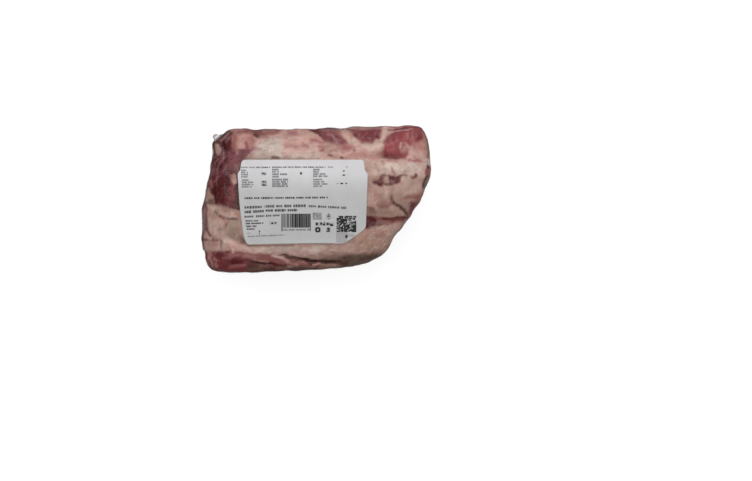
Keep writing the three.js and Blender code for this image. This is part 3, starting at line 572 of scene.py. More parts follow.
LOWER_LEFT = [
    Patch("lean_red", 1.5, [
        (-112, -49), (-97, -48.6), (-84, -47), (-76, -47), (-66, -48.4), (-58, -50), (-44, -51),
        (-37, -51.6), (-33, -53), (-28, -57.5), (-28, -72), (-112, -72),
    ]),
    Patch("lean_maroon", 2.2, [
        (-93, -50), (-86, -48), (-79, -48), (-76, -52), (-70, -54), (-60, -56), (-58, -58), (-74, -59),
        (-86, -56),
    ], 0.75),
    Patch("lean_dusty", 1.6, [(-76, -49), (-60, -50), (-58, -54), (-64, -54), (-74, -51)], 0.8),
    Patch("lean_dusty", 1.4, [(-60, -50.4), (-44, -51), (-38, -52), (-38, -57), (-52, -56.4), (-60, -55.4)]),
    # Pink streaks across the wedge: painted highlights of the film.
    Streak("fat_pink", 0.8, 1.4, [(-64, -52), (-54.6, -54.2)], 0.8),
    Streak("fat_pink", 0.5, 0.8, [(-57, -55.4), (-50, -56), (-42, -56.8)], 0.9),
    Streak("lean_rose", 1.1, 1.8, [(-77, -61.6), (-68, -60.8), (-62, -60)], 0.7),
    Streak("fat_blush", 0.9, 1.2, [(-74.6, -44), (-74.4, -48.4)], 0.9),
    # Painted highlight strokes of the film.
    Streak("fat_salmon", 0.7, 1.2, [(-96, -52.6), (-94.4, -56), (-92.6, -59.6)], 0.8),
    # Painted shade below the crease, down the near side.
    Patch("gap_brown", 1.8, [(-62, -59), (-50, -59), (-36, -60), (-26, -61), (-26, -72), (-62, -72)], 0.9),
    Patch("fat_umber", 1.6, [(-62, -62), (-46, -62), (-46, -66), (-62, -66)], 0.6),
    Patch("fat_umber", 1.2, [(-51, -60), (-42, -60.6), (-42, -63), (-52, -62.6)], 0.8),
    Patch("fat_umber", 1.4, [(-36, -61.4), (-25, -60.6), (-24, -63.6), (-36, -64.4)], 0.9),
    Streak("lean_deep", 1.0, 1.2, [(-74, -57.2), (-66, -57.4), (-58, -57.4)], 0.5),
    # Painted shade in the crease.
    Streak("gap_black", 0.8, 0.6, [(-62, -57.2), (-56, -57.3), (-50, -57.7), (-42, -58.5), (-37, -59.2)]),
    Streak("lean_maroon", 0.9, 1.2, [(-44, -59.8), (-34, -59.6), (-27, -59.8)], 0.9),
    Patch("lean_dusty", 1.2, [
        (-40, -53), (-33, -54), (-26, -56), (-24, -59), (-29, -59.6), (-38, -57.6),
    ], 0.9),
    Patch("lean_umber", 1.1, [
        (-34, -51.6), (-30, -50.2), (-25.6, -50.4), (-24, -52), (-24.4, -55), (-27, -54), (-32, -52.8),
    ], 0.9),
    Patch("lean_umber", 1.2, [
        (-25, -53.6), (-14, -54.6), (-5, -57), (4, -58), (3, -61.4), (-16, -61.6), (-25, -60),
    ]),
    Patch("lean_dusty", 1.6, [(-24, -55), (-15, -56), (-8, -57), (-7, -61), (-24, -60)], 0.8),
    # The pale streaks along the film's fold here are painted highlights.
    Streak("fat_blush", 0.7, 0.9, [(-39, -51.9), (-33, -53.2), (-29, -54.4)], 0.9),
    Streak("fat_pink", 0.7, 0.9, [(-29, -54.4), (-26.4, -56.2), (-24.6, -57.8)], 0.9),
    Streak("fat_clay", 0.7, 1.0, [(-24.6, -57.8), (-21, -59.2), (-16, -60.2)], 0.9),
    Streak("fat_clay", 1.0, 0.9, [(-2, -60), (2.4, -58.7), (4.4, -58.2)]),
    Streak("fat_mauve", 0.8, 0.9, [(5.6, -60.2), (12, -60.4), (18, -60.6)], 0.7),
    # Painted shade under the ridge.
    Patch("gap_black", 1.0, [(-25, -62), (-12, -61.8), (2, -62.2), (2, -67), (-26, -68)], 0.85),
    # Painted shade along the crease.
    Streak("gap_brown", 1.1, 0.9, [
        (-26, -53), (-18, -53.9), (-14, -54.4), (-9, -55.2), (-3, -56), (3, -56.6),
    ]),
    Patch("fat_blush", 1.6, [(-26, -47), (-8, -48), (-6, -52), (-16, -52), (-24, -51)]),
    # Painted shade along the crease.
    Streak("gap_black", 0.6, 0.9, [(-22, -53.5), (-14, -54.6), (-9, -55.4), (-3, -56.4), (4, -57.2)], 0.6),
    Streak("gap_black", 1.0, 1.0, [(-10, -55.6), (-5, -56.6), (0, -57.4)], 0.8),
    Streak("gap_black", 1.3, 1.0, [(5, -57), (9, -57.3), (16, -57.5), (22, -57.6)], 0.95),
    Streak("gap_brown", 1.0, 1.8, [(20, -58), (28, -58.8)], 0.9),
    Strokes("lean_rose", 20, -8, 12, 7, 0.25, [
        (-84, -49), (-60, -51), (-40, -53), (-40, -57), (-62, -60), (-84, -60),
    ], 0.4),
    Strokes("lean_deep", 14, -8, 12, 7, 0.25, [
        (-90, -50), (-64, -54), (-50, -58), (-62, -62), (-90, -62),
    ], 0.2),
    # Painted highlight strokes of the film.
    Strokes("fat_pink", 22, -62, 24, 2.4, 0.2, [
        (-98, -48), (-90, -48), (-87, -58), (-91, -63), (-97, -58),
    ], 0.7),
    Strokes("lean_maroon", 18, -62, 24, 3, 0.3, [
        (-98, -48), (-86, -48), (-85, -58), (-91, -63), (-97, -58),
    ], 0.35),
    Strokes("fat_pink", 10, -18, 16, 3, 0.2, [(-38, -52.6), (-6, -57), (2, -60), (-24, -60)], 0.4),
]

TOP_MARKS = (
    LEFT_END + UPPER_LEFT + UPPER_MIDDLE + BRIGHT_MUSCLE + RIGHT_END + LEFT_FAT + LOWER_RIGHT + LOWER_LEFT
)

TOP_RELIEF = [
    Relief(-1.2, 1.6, [
        (-32, -52), (-27, -52.8), (-18, -54.4), (-10, -56), (0, -57.6), (16, -58.2), (25, -58.8),
    ]),
    Relief(-0.9, 1.8, [(-63, -56.8), (-54, -57.2), (-47, -58), (-38, -59.6), (-32, -61.5)]),
    Relief(-1.0, 3.2, [(51, -18.5), (51.5, -23)]),
    Relief(-0.6, 2.0, [(58, -20), (64, -19.4), (71, -18.8), (78, -17.7), (85, -17.5)]),
    Relief(-0.8, 2.2, [(53.5, 14.4), (60, 15)]),
    Relief(-0.4, 2.4, [(70, 16.8), (75, 16.8)]),
    Relief(0.6, 1.8, [(63.4, 17.4), (64.8, 16.6)]),
    Relief(-0.4, 1.4, [(76, 20.6), (83, 20.4)]),
    Relief(-0.4, 2.6, [(56, -6.4), (68, -3.6), (76, -7.4), (81, -11), (84, -16)]),
    Relief(-0.45, 1.6, [(-89.5, -11.5), (-87, -15.5), (-81, -17.8), (-71, -18.6)]),
    Relief(-0.35, 1.5, [(-80, -18.5), (-79.4, -23), (-82, -28), (-86, -28.8)]),
    Relief(-0.4, 1.2, [(-100, -37.4), (-94, -38.4), (-86, -38.2)]),
    Relief(-0.8, 2.2, [(-83, 48), (-82.6, 44)]),
    Relief(0.8, 2.4, [(-88.5, 47.5), (-87.6, 41.5)]),
    Relief(-0.6, 1.5, [(-86, 33), (-89, 27)]),
    Relief(-0.5, 1.6, [(-86.5, 26.6), (-88.5, 22)]),
    Relief(-0.6, 1.8, [(-78.6, 21), (-78, 13)]),
    Relief(0.8, 2.2, [(-74, 18.6), (-73, 15)]),
    Relief(0.4, 2.6, [(29, 60), (33, 53), (40, 48.4), (52, 47), (61, 50), (64, 60)]),
    Relief(-0.3, 2.2, [(62, 47), (61, 41), (63, 37.4), (70, 35.8), (80, 36.6)]),
    Relief(0.3, 1.4, [(13, 59), (16, 56), (18.4, 51.6), (21.6, 47.6)]),
    Relief(0.6, 3.5, [(72, 44), (75, 56)]),
    Relief(-0.2, 0.9, [(66, 61.6), (78, 62.9), (88, 64.4)]),
    Relief(-0.3, 2.0, [(79, 0.6), (84, 1.2), (90, 0.6)]),
    Relief(0.5, 1.6, [(-26, -57.4), (-22.6, -59), (-16, -60.2), (3, -60.6)]),
    Relief(0.7, 1.6, [(-21.2, -55.4), (-20, -55.8)]),
    Relief(0.6, 1.8, [(0.6, -59.2), (4.4, -58.4)]),
    Relief(0.5, 1.4, [(-38.5, -52.6), (-33, -53.5), (-27.5, -55.4), (-25, -57.4)]),
    Relief(-0.3, 1.3, [(68.4, 27.6), (70, 24.6), (73, 21.4)]),
    Relief(-0.4, 1.2, [(86, 34.4), (91, 33.8), (95, 34)]),
]

# Where the piece's rim bulges or is drawn in
RIM = [
    Push((99, 58), -1.5, 7), Push((94.5, 65), 0.8, 4), Push((82, 66), 0.6, 9), Push((48, 65), 0.9, 10),
    Push((27.5, 63.5), -0.7, 3.5), Push((15, 64), 0.9, 8), Push((-12.5, 62.6), -1.4, 6),
    Push((-21, 62.4), -0.8, 5), Push((-42, 62.5), -0.8, 9), Push((-56, 62), -1.0, 5), Push((-72, 63), 1.0, 4),
    Push((-78.5, 61.6), 2.0, 5), Push((-95.2, 30), 2.2, 7), Push((-93, 48.5), 2.6, 4),
    Push((-98, 14), 1.2, 8), Push((-102.4, -8), 2.4, 5), Push((-103, -21), -0.6, 6),
    Push((-102.4, -37), 1.8, 6), Push((-95, -63), 0.2, 6), Push((-80, -67), 0.7, 10),
    Push((-55, -67.5), 1.4, 10), Push((-34, -66.4), 0.5, 6), Push((-15, -65.8), 1.3, 9),
    Push((35, -61.3), 1.0, 8), Push((52, -55.8), -0.8, 6), Push((70, -37.5), -0.7, 6),
    Push((81, -23), -1.5, 7), Push((89.5, -10.4), -1.6, 6), Push((95, -3.2), 0.4, 3.5),
    Push((103.6, 31), -0.8, 7), Push((-100.5, -49.5), -1.0, 5), Push((99.8, 10.3), 0.6, 5),
]

# Where the film is drawn into folds over the upper side, whose whitish haze is a painted highlight
FILM_FOLDS = [
    Relief(0.35, 0.7, [(-92.4, 30), (-93, 24), (-93.6, 17)]),
    Relief(0.35, 0.7, [(-84.5, 35), (-82.5, 38), (-80, 42)]),
    Relief(0.3, 0.6, [(-82, 31), (-83.5, 24)]),
    Relief(0.3, 0.6, [(-89.5, 20), (-88.6, 12)]),
    Relief(0.3, 0.7, [(-95, 33), (-96.5, 24), (-98, 15)]),
    Relief(0.35, 0.6, [(14, 59), (17.5, 53), (21, 48)]),
    Relief(0.35, 0.6, [(70, 60.8), (78, 61.8), (88, 63.4)]),
    Relief(0.4, 0.8, [(91, 27.6), (96.5, 26)]),
    Relief(0.3, 0.7, [(94.4, 24), (94.8, 19.6)]),
    Relief(0.4, 0.8, [(-39, -52.8), (-33, -53.7), (-27.5, -55.8), (-24, -58)]),
    Relief(0.3, 0.6, [(-95.5, -54), (-92, -59), (-88, -62)]),
    Relief(0.3, 0.6, [(-92, -51), (-89.5, -55), (-89, -60)]),
    Relief(0.3, 0.6, [(-58, -51.6), (-50, -52.6)]),
]

# Label outline, anticlockwise from the lower left, each corner with its rounding
LABEL_CORNERS = [
    (-61.5, -41.8, 2.5), (0, -40.3, 30), (25.6, -40.9, 3), (37.5, -33.2, 6), (45.6, -26.6, 3),
    (47.3, 22, 1.5), (44.7, 25.6, 1.5), (43.6, 35.0, 2.5), (-66.6, 34.9, 3.5), (-67.9, 25.4, 1.2),
    (-70.3, 22.6, 1.5), (-68.4, -8, 30), (-64.7, -35, 4),
]
# Which of its corners end its four sides
SIDE_ENDS = (0, 4, 7, 8)


class TextLine(NamedTuple):
    """A line of made-up print, as a row of dashes: its ends, and how high, how full and how dark it is."""

    start: tuple
    end: tuple
    height: float
    full: float
    ink: str = "grey"


class Box(NamedTuple):
    """A printed block: its middle, width, height and how filled it is."""

    middle: tuple
    width: float
    height: float
    full: float


def text_block(left, height, full, lines):
    """Level lines of one height that start below each other, as (place up the label, end) of each."""
    return [TextLine((left, y), (end, y), height, full) for y, end in lines]


TEXT_LINES = (
    [
        TextLine((-67, 28), (-54.5, 28), 1.5, 0.6),
        TextLine((-53.6, 28), (-40.4, 28), 1.5, 0.7, "worn"),
        TextLine((-39, 28.1), (-26, 28.2), 1.5, 0.7, "worn"),
        TextLine((-25, 28.2), (9, 28.2), 1.5, 0.6, "worn"),
        TextLine((11.4, 28.2), (16, 28.2), 1.3, 0.6),
        TextLine((27.4, 28.3), (29.8, 28.3), 1.2, 0.5),
        TextLine((-39, 21.8), (-25, 21.8), 1.7, 1),
        TextLine((-64, 0.2), (12, 0.8), 1.9, 0.62, "dark"),
        TextLine((-64, -8.2), (-46, -7.6), 2.6, 0.7, "worn"),
        TextLine((-45, -7.2), (-8, -6.6), 2.6, 0.75, "worn"),
        TextLine((-6, -6.9), (28, -8.6), 2.3, 0.7, "worn"),
        TextLine((-64, -12.4), (-46.6, -11.4), 2.6, 0.9, "worn"),
        TextLine((-45, -11), (-16, -10.6), 2.4, 0.85, "worn"),
        TextLine((-64, -16.6), (-56, -16.3), 1.9, 0.7, "worn"),
        TextLine((-53.6, -16.2), (-32, -15.2), 2.0, 0.75, "worn"),
        TextLine((-63, -20.4), (-50, -20.1), 1.6, 0.65, "dark"),
        TextLine((-63, -22.8), (-47, -22.3), 1.6, 0.75, "dark"),
        TextLine((-62.4, -25.3), (-51.6, -25), 1.6, 0.75, "dark"),
        TextLine((-62, -27.7), (-54.4, -27.6), 1.6, 0.68, "dark"),
        TextLine((-61.8, -31.6), (-58, -31.4), 1.1, 0.5),
        TextLine((-61, -34.4), (-27.6, -33), 1.5, 0.65),
        TextLine((-30, -28.4), (-4, -28.2), 1.8, 0.8),
    ]
    + text_block(-67, 1.7, 0.8, [(25.3, -62.5), (23.4, -61), (21.5, -61), (19.5, -61)])
    + text_block(-66.4, 1.6, 0.9, [(16.5, -60), (14.5, -55), (12.5, -56), (10.5, -57.5)])
    + text_block(-39, 1.7, 0.95, [(26, -32), (24, -33), (19.6, -33)])
    + text_block(-39, 1.9, 0.9, [(17, -24.8), (15, -24.8), (13, -24.8), (11, -24.8)])
    + text_block(-2, 1.6, 0.95, [(26, 4), (24, 4), (22, 9), (20, 11)])
    + text_block(-2, 1.6, 0.9, [(17, 6), (15, 8), (13, 11), (11, 6)])
)

# Single printed marks: dots, short words and panels
MARK_BOXES = [
    Box((-47.2, 22.6), 1.8, 1.6, 0.5), Box((-45.6, 21.9), 1.4, 1.4, 0.5), Box((-46.8, 15), 2.4, 1.4, 0.6),
    Box((-44.8, 14.8), 1.2, 1.2, 0.4), Box((-46.8, 12.1), 2.6, 1.5, 0.8), Box((-44.7, 11.9), 1.2, 1.2, 0.6),
    Box((-13, 22.6), 1.8, 2.2, 0.9), Box((25.6, 24.7), 2.0, 1.4, 0.45), Box((25.6, 21), 2.4, 1.4, 0.7),
    Box((23.8, 13.5), 2.8, 1.4, 0.6), Box((27.8, 13.5), 1.4, 1.4, 0.8), Box((20, 13.4), 1.4, 1.2, 0.25),
    Box((-38.9, -22.5), 1.9, 1.6, 0.9), Box((-36, -22), 1.6, 1.5, 0.75), Box((-50.5, -29.8), 1.3, 1.4, 0.9),
    Box((-50.5, -32.2), 0.9, 1.6, 0.45), Box((12, -16.1), 3.0, 1.0, 0.8), Box((12, -14.4), 0.9, 2.2, 0.5),
    Box((12, -18.4), 0.9, 1.4, 0.5), Box((16, -17), 0.8, 0.8, 0.3),
    Box((1.2, -23), 2.0, 2.6, 1), Box((5.2, -22.7), 1.8, 2.3, 0.9), Box((7.7, -23.6), 2.2, 1.7, 0.9),
    Box((8.3, -22), 1.0, 1.1, 0.9), Box((11.1, -23), 2.0, 2.4, 0.9), Box((13.4, -23.2), 1.9, 1.0, 0.9),
    Box((14.7, -24.2), 2.6, 1.9, 1), Box((11.7, -27.2), 2.5, 1.7, 1), Box((11.4, -29.5), 2.8, 1.4, 1),
    Box((12.3, -28.3), 1.4, 1.5, 0.9), Box((28, -34.4), 2.1, 2.8, 1),
]

# Fields of pale print under the small marks
FIELDS = [
    Box((8.4, -23.3), 16.6, 3.0, 1), Box((11.8, -28.4), 3.6, 4.4, 1), Box((2.2, -28.3), 5.6, 5.2, 1),
    Box((23.85, -35.3), 8.4, 7.4, 1), Box((12, -16.4), 4.4, 4.6, 1), Box((1.7, -16), 8.2, 6.4, 1),
    Box((32, -33.4), 7, 3, 1), Box((-38, -22.3), 7, 2.4, 1), Box((-46.4, 13.6), 4.8, 5.2, 1),
    Box((-46.6, 22.3), 4.4, 2.6, 1),
]

RING = {"middle": (2.2, -28.3), "radius": 1.7, "bar": 1.35, "parts": 18}
# The bar code's guards are three modules wide at both ends, and its bars are denser from a share of its width
BAR_CODE = {
    "left": -30.8, "right": -4.2, "top": -13.8, "foot": -26.4, "guard_foot": -29.6,
    "modules": 74, "guard": 3, "dense_from": 0.34,
}
# Shares of the square codes' squares that are dark, in the top row and towards the foot
SQUARE_CODE = {
    "left": 19.2, "right": 36.8, "top": -15.8, "foot": -30.4, "columns": 21, "rows": 17,
    "shares": (0.7, 0.82),
}
PALE_CODE = {
    "left": -2.4, "right": 5.6, "top": -13.0, "foot": -19.0, "columns": 14, "rows": 10,
    "shares": (0.6, 0.6),
}
PALE_PANEL = {"left": 19.2, "right": 28.5, "top": -31.2, "foot": -39.4, "bar": 0.35}
# Fewest and most dashes in a made-up word, and, as shares of the line's height, how wide and high a dash is,
# the gap after it in the fullest line, how much a line's emptiness adds to it and the gap after a word
WORD = (3, 7)
DASH_WIDTH, DASH_HEIGHT = (0.36, 0.92), (0.72, 1.0)
DASH_GAP, EMPTY_GAP, WORD_GAP = 0.08, 0.4, 0.55


# Settings


def number_setting(label, about, default, **kind):
    """A number that the panel shows."""
    return FloatProperty(name=label, description=about, default=default, **kind)


def share_setting(label, about, default):
    """A share that the panel shows as a slider."""
    return number_setting(label, about, default, subtype="FACTOR")


def length_setting(label, about, millimetres):
    """A length that the panel shows, with its default in millimetres."""
    return number_setting(label, about, millimetres * MM, unit="LENGTH")


def count_setting(label, about, default):
    """A whole number that the panel shows."""
    return IntProperty(name=label, description=about, default=default)


class BeefSettings(PropertyGroup):
    cell: length_setting("Cell", "Size of one face of the skin", 0.985)
    smoothing: count_setting("Smoothing", "Rounds that smooth the skin", 45)
    lump_height: length_setting("Lumps", "Height of the fine lumps of the meat", 0.22)
    lump_size: length_setting("Lump size", "Width of the fine lumps", 7)
    blending: number_setting("Blending", "How softly marks run into each other", 2.3)
    seed: count_setting("Seed", "Seed of the fine streaks", 3)
    # Painted light: the meat's colours are made lighter on the slopes of the upper side.
    painted_rim_light: number_setting("Rim light", "How much lighter the meat is on its slopes", 0.5)
    wander: length_setting("Wander", "How far the edges of patches wander", 0.7)
    fraying: length_setting("Fraying", "How far the edges of patches fray", 0.6)


class FilmSettings(PropertyGroup):
    gap: length_setting("Gap", "Film's distance from the meat", 0.3)
    bridging: count_setting("Bridging", "Rounds that draw the film over grooves", 10)
    pull: share_setting("Pull", "Share of its way to the film that the seal is drawn", 0.65)
    wrinkle_height: length_setting("Wrinkles", "Height of the film's wrinkles", 0.35)
    shine: number_setting("Shine", "Share of light that the film mirrors head-on", 0.027)
    roughness: share_setting("Roughness", "Roughness of the film", 0.1)
    # The folds' whiteness is a painted highlight.
    haze: share_setting("Haze", "How white the drawn folds are", 0.5)


class LabelSettings(PropertyGroup):
    # Painted shade: the paper runs from its top colour down to a greyer foot.
    paper: tint("cecece", "Paper", "Colour of the label's paper at its foot")
    paper_painted_lit_top: tint("eae8ea", "Clean paper", "Colour of the label's paper at its top")
    dark: tint("26272a", "Ink", "Colour of the label's codes and dark text")
    worn: tint("54555a", "Worn ink", "Colour of the label's worn text")
    grey: tint("86868a", "Grey ink", "Colour of the label's small text")
    field: tint("b6b3b4", "Field", "Colour of the label's pale fields")
    thickness: length_setting("Thickness", "Paper's thickness", 0.16)
    lift: length_setting("Lift", "Paper's height over the film", 0.15)
    cell: length_setting("Cell", "Size of one face of the paper", 1.0)
    ink_height: length_setting("Ink height", "Thickness of the print", 0.05)
    seed: count_setting("Seed", "Seed of the made-up print", 7)


class StageSettings(PropertyGroup):
    lens: number_setting("Lens", "Camera's focal length in millimetres", 85)
    key_power: number_setting("Key", "Power of the light behind", 7.1, unit="POWER")
    side_power: number_setting("Sides", "Power of each side light", 3.4, unit="POWER")
    front_power: number_setting("Front", "Power of the front light", 2.9, unit="POWER")
    ambient: number_setting("Ambient", "Light from all round", 0.24)


# Mesh helpers


def new_object(name, data):
    """A new object in the scene, at the origin."""
    made = bpy.data.objects.new(name, data)
    bpy.context.scene.collection.objects.link(made)
    return made


def link_piece(name, mesh, material):
    """A new object of the piece, smooth shaded."""
    mesh.materials.clear()
    mesh.materials.append(material)
    mesh.shade_smooth()
    return new_object(name, mesh)


def made_by(helper):
    """The mesh that a helper object's modifiers make. The helper is removed."""
    mesh = bpy.data.meshes.new_from_object(helper.evaluated_get(bpy.context.evaluated_depsgraph_get()))
    bpy.data.objects.remove(helper)
    return mesh


def rows_of(items, key, width, kind=float):
    """One value of each item, as an array with a row for each."""
    flat = np.empty(len(items) * width, kind)
    items.foreach_get(key, flat)
    return flat.reshape(-1, width)


def points_of(mesh):
    """The mesh's vertices as an array."""
    return rows_of(mesh.vertices, "co", 3)


def normals_of(mesh):
    """The mesh's vertex normals as an array."""
    return rows_of(mesh.vertex_normals, "vector", 3)


def edges_of(mesh):
    """The mesh's edges as pairs of vertex numbers."""
    return rows_of(mesh.edges, "vertices", 2, np.int64)


def put_points(mesh, points):
    """Moves the mesh's vertices to the points."""
    mesh.vertices.foreach_set("co", points.astype(np.float32).ravel())
    mesh.update()


def relax(values, edges, rounds):
    """Each value moves half-way to its neighbours' mean, that many times."""
    shape = values.shape
    values = values.reshape(len(values), -1).copy()
    count = len(values)
    a, b = edges[:, 0], edges[:, 1]
    neighbours = np.bincount(a, minlength=count) + np.bincount(b, minlength=count)
    for _ in range(rounds):
        for k in range(values.shape[1]):
            column = values[:, k]
            total = np.bincount(a, column[b], count) + np.bincount(b, column[a], count)
            values[:, k] = column + (total / neighbours - column) / 2
    return values.reshape(shape)


def add_attribute(mesh, name, kind, values):
    """Stores one value for each vertex under a name that nodes read."""
    attribute = mesh.attributes.new(name, kind, "POINT")
    key = {"FLOAT": "value", "FLOAT_COLOR": "color", "FLOAT_VECTOR": "vector"}[kind]
    attribute.data.foreach_set(key, values.astype(np.float32).ravel())


def surface_tree(name):
    """A search tree of the named object's faces."""
    mesh = bpy.data.objects[name].data
    return BVHTree.FromPolygons([v.co for v in mesh.vertices], [tuple(p.vertices) for p in mesh.polygons])


def even_skin(node, cell, rounds):
    """The node's surface as an even mesh of small faces, with its facets smoothed away."""
    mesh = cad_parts[node].data.copy()
    welded = bmesh.new()
    welded.from_mesh(mesh)
    bmesh.ops.remove_doubles(welded, verts=welded.verts, dist=1e-6)
    welded.to_mesh(mesh)
    welded.free()
    helper = new_object("helper", mesh)
    remesh = helper.modifiers.new("Even faces", "REMESH")
    remesh.mode = "VOXEL"
    remesh.voxel_size = cell
    even = made_by(helper)
    put_points(even, relax(points_of(even), edges_of(even), rounds))
    return even


def smooth_step(values, low, high):
    """0 below low, 1 above high and smooth between."""
    t = np.clip((values - low) / (high - low), 0, 1)
    return t * t * (3 - 2 * t)


def noise_at(points, size, seed):
    """Smooth noise from about -1 to 1 with features of the given size, as one array."""
    shift = Vector((seed, -seed, 2 * seed))
    return np.array([noise.noise(Vector(p) + shift) for p in (points / size).tolist()])


def fractal_at(points, size, octaves, seed):
    """Noise with several finer layers on it."""
    shift = Vector((seed, -seed, 2 * seed))
    return np.array([noise.fractal(Vector(p) + shift, 1.0, 2.0, octaves) for p in (points / size).tolist()])


# Marks carried from their level plane to the surface


def seen_on_marks_plane(points):
    """Where the points appear on the marks plane from the camera, in millimetres."""
    stretch = (CAMERA.z - MARKS_LEVEL) / (CAMERA.z - points[:, 2])
    eye = np.array(CAMERA[:2])
    return (eye + (points[:, :2] - eye) * stretch[:, None]) / MM


def distance_to_way(at, way, closed=False):
    """Each point's distance to a line of points."""
    best = np.full(len(at), np.inf)
    ends = way[1:] + way[:1] if closed else way[1:]
    for start, end in zip(way, ends):
        start, along = np.array(start), np.subtract(end, start)
        t = np.clip((at - start) @ along / (along @ along), 0, 1)
        best = np.minimum(best, np.linalg.norm(at - start - t[:, None] * along, axis=1))
    return best


def inside(at, outline):
    """Whether each point lies inside a closed outline."""
    crossed = np.zeros(len(at), bool)
    for (ax, ay), (bx, by) in zip(outline, outline[1:] + outline[:1]):
        if ay == by:
            continue
        spans = (ay > at[:, 1]) != (by > at[:, 1])
        crossed ^= spans & (at[:, 0] < ax + (at[:, 1] - ay) * (bx - ax) / (by - ay))
    return crossed


def near(at, way, margin):
    """The numbers of the points within a margin of the box round a line of points."""
    low, high = np.min(way, axis=0) - margin, np.max(way, axis=0) + margin
    return np.nonzero(((at > low) & (at < high)).all(axis=1))[0]


def cover_of(mark, at, blending):
    """How much of each point a patch or streak covers, from 0 to 1."""
    if isinstance(mark, Patch):
        distance = distance_to_way(at, mark.outline, closed=True)
        distance[inside(at, mark.outline)] *= -1
        reach = blending * mark.soft / 2
        return mark.strength * (1 - smooth_step(distance, -reach, reach))
    distance = distance_to_way(at, mark.way)
    low, high = mark.width - mark.soft / 2, mark.width + mark.soft * blending / 2
    return mark.strength * (1 - smooth_step(distance, low, high))


def streaks_of(strokes, rng):
    """The fine streaks that stand for many strokes."""
    low, high = np.min(strokes.outline, axis=0), np.max(strokes.outline, axis=0)
    streaks = []
    while len(streaks) < strokes.count:
        middle = np.array([rng.uniform(low[0], high[0]), rng.uniform(low[1], high[1])])
        if not inside(middle[None], strokes.outline)[0]:
            continue
        turn = math.radians(rng.gauss(strokes.angle, strokes.spread))
        along = np.array([math.cos(turn), math.sin(turn)]) * strokes.length * rng.uniform(0.25, 0.6)
        side = np.array([-along[1], along[0]]) * rng.uniform(-0.25, 0.25)
        way = [tuple(middle - along), tuple(middle + side), tuple(middle + along)]
        width = strokes.width * rng.uniform(0.6, 1.4)
        strength = strokes.strength * rng.uniform(0.6, 1.3)
        streaks.append(Streak(strokes.tint, width, STROKE_SOFT, way, strength))
    return streaks


def expanded(marks, seed):
    """The marks with every group of strokes drawn out."""
    rng = random.Random(seed)
    drawn = []
    for mark in marks:
        drawn += streaks_of(mark, rng) if isinstance(mark, Strokes) else [mark]
    return drawn


def paint(at, base, marks, tints, blending):
    """Lays the marks over the base in order. Colours carry the share of fat as a fourth value."""
    colours = base.copy()
    for mark in marks:
        way = mark.outline if isinstance(mark, Patch) else mark.way
        found = near(at, way, blending * mark.soft + getattr(mark, "width", 0))
        if len(found) == 0:
            continue
        cover = np.minimum(cover_of(mark, at[found], blending), 1)[:, None]
        colours[found] += cover * (tints[mark.tint] - colours[found])
    return colours


def rise_of(reliefs, at):
    """The summed rise of ridges and grooves at each point, in millimetres."""
    rise = np.zeros(len(at))
    for relief in reliefs:
        found = near(at, relief.way, 3 * relief.width)
        if len(found):
            distance = distance_to_way(at[found], relief.way)
            rise[found] += relief.rise * np.exp(-((distance / relief.width) ** 2))
    return rise


def pushed_out(points, at, out, pushes):
    """The points, moved level with the ground by the rim's bulges and hollows."""
    level = out * (1, 1, 0)
    amount = np.zeros(len(points))
    for push in pushes:
        distance = np.linalg.norm(at - push.place, axis=1)
        amount += push.out * np.exp(-((distance / push.reach) ** 2))
    return points + level * amount[:, None] * MM


def named_tints():
    """Each tint's colour with its share of fat as a fourth value."""
    settings = bpy.context.scene.meat_tints
    found = {}
    for name in MeatTints.__annotations__:
        fat = 1.0 if name.startswith("fat") else 0.5 if name.startswith(("shine", "veil")) else 0.0
        found[name] = np.array([*getattr(settings, name), fat])
    return found


# Nodes


def feed(tree, socket, value):
    """Links a socket into another one, or sets a plain value on it."""
    if isinstance(value, bpy.types.NodeSocket):
        tree.links.new(value, socket)
    else:
        socket.default_value = value


def add_node(tree, kind, inputs=(), **settings):
    """A new node with its settings, and with its inputs fed by name or number."""
    node = tree.nodes.new(kind)
    for key, value in settings.items():
        setattr(node, key, value)
    for key, value in dict(inputs).items():
        feed(tree, node.inputs[key], value)
    return node


def new_material(name):
    """An empty node material, as (material, tree)."""
    material = bpy.data.materials.new(name)
    material.use_nodes = True
    material.node_tree.nodes.clear()
    return material, material.node_tree


def math_node(tree, operation, first, second=0.0, clamp=False):
    """The result of a Math node fed by sockets or numbers."""
    inputs = {0: first, 1: second}
    return add_node(tree, "ShaderNodeMath", inputs, operation=operation, use_clamp=clamp).outputs[0]


def times(tree, first, second, clamp=False):
    """The product of two sockets or numbers."""
    return math_node(tree, "MULTIPLY", first, second, clamp)


def plus(tree, first, second, clamp=False):
    """The sum of two sockets or numbers."""
    return math_node(tree, "ADD", first, second, clamp)


def vector_math(tree, operation, inputs):
    """The result of a Vector Math node."""
    return add_node(tree, "ShaderNodeVectorMath", inputs, operation=operation).outputs[0]


def mix_colours(tree, share, first, second, blend="MIX"):
    """The result of a Mix node for colours fed by sockets or values."""
    inputs = {0: share, 6: first, 7: second}
    mix = add_node(tree, "ShaderNodeMix", inputs, data_type="RGBA", blend_type=blend, clamp_factor=True)
    return mix.outputs[2]


def mix_shaders(tree, share, first, second):
    """The result of a Mix Shader node."""
    return add_node(tree, "ShaderNodeMixShader", {0: share, 1: first, 2: second}).outputs[0]


def bump_of(tree, height, strength, distance):
    """The normal that a height gives."""
    inputs = {"Height": height, "Strength": strength, "Distance": distance}
    return add_node(tree, "ShaderNodeBump", inputs).outputs[0]


def own_coordinates(tree):
    """The piece's own coordinates."""
    return add_node(tree, "ShaderNodeTexCoord").outputs["Object"]


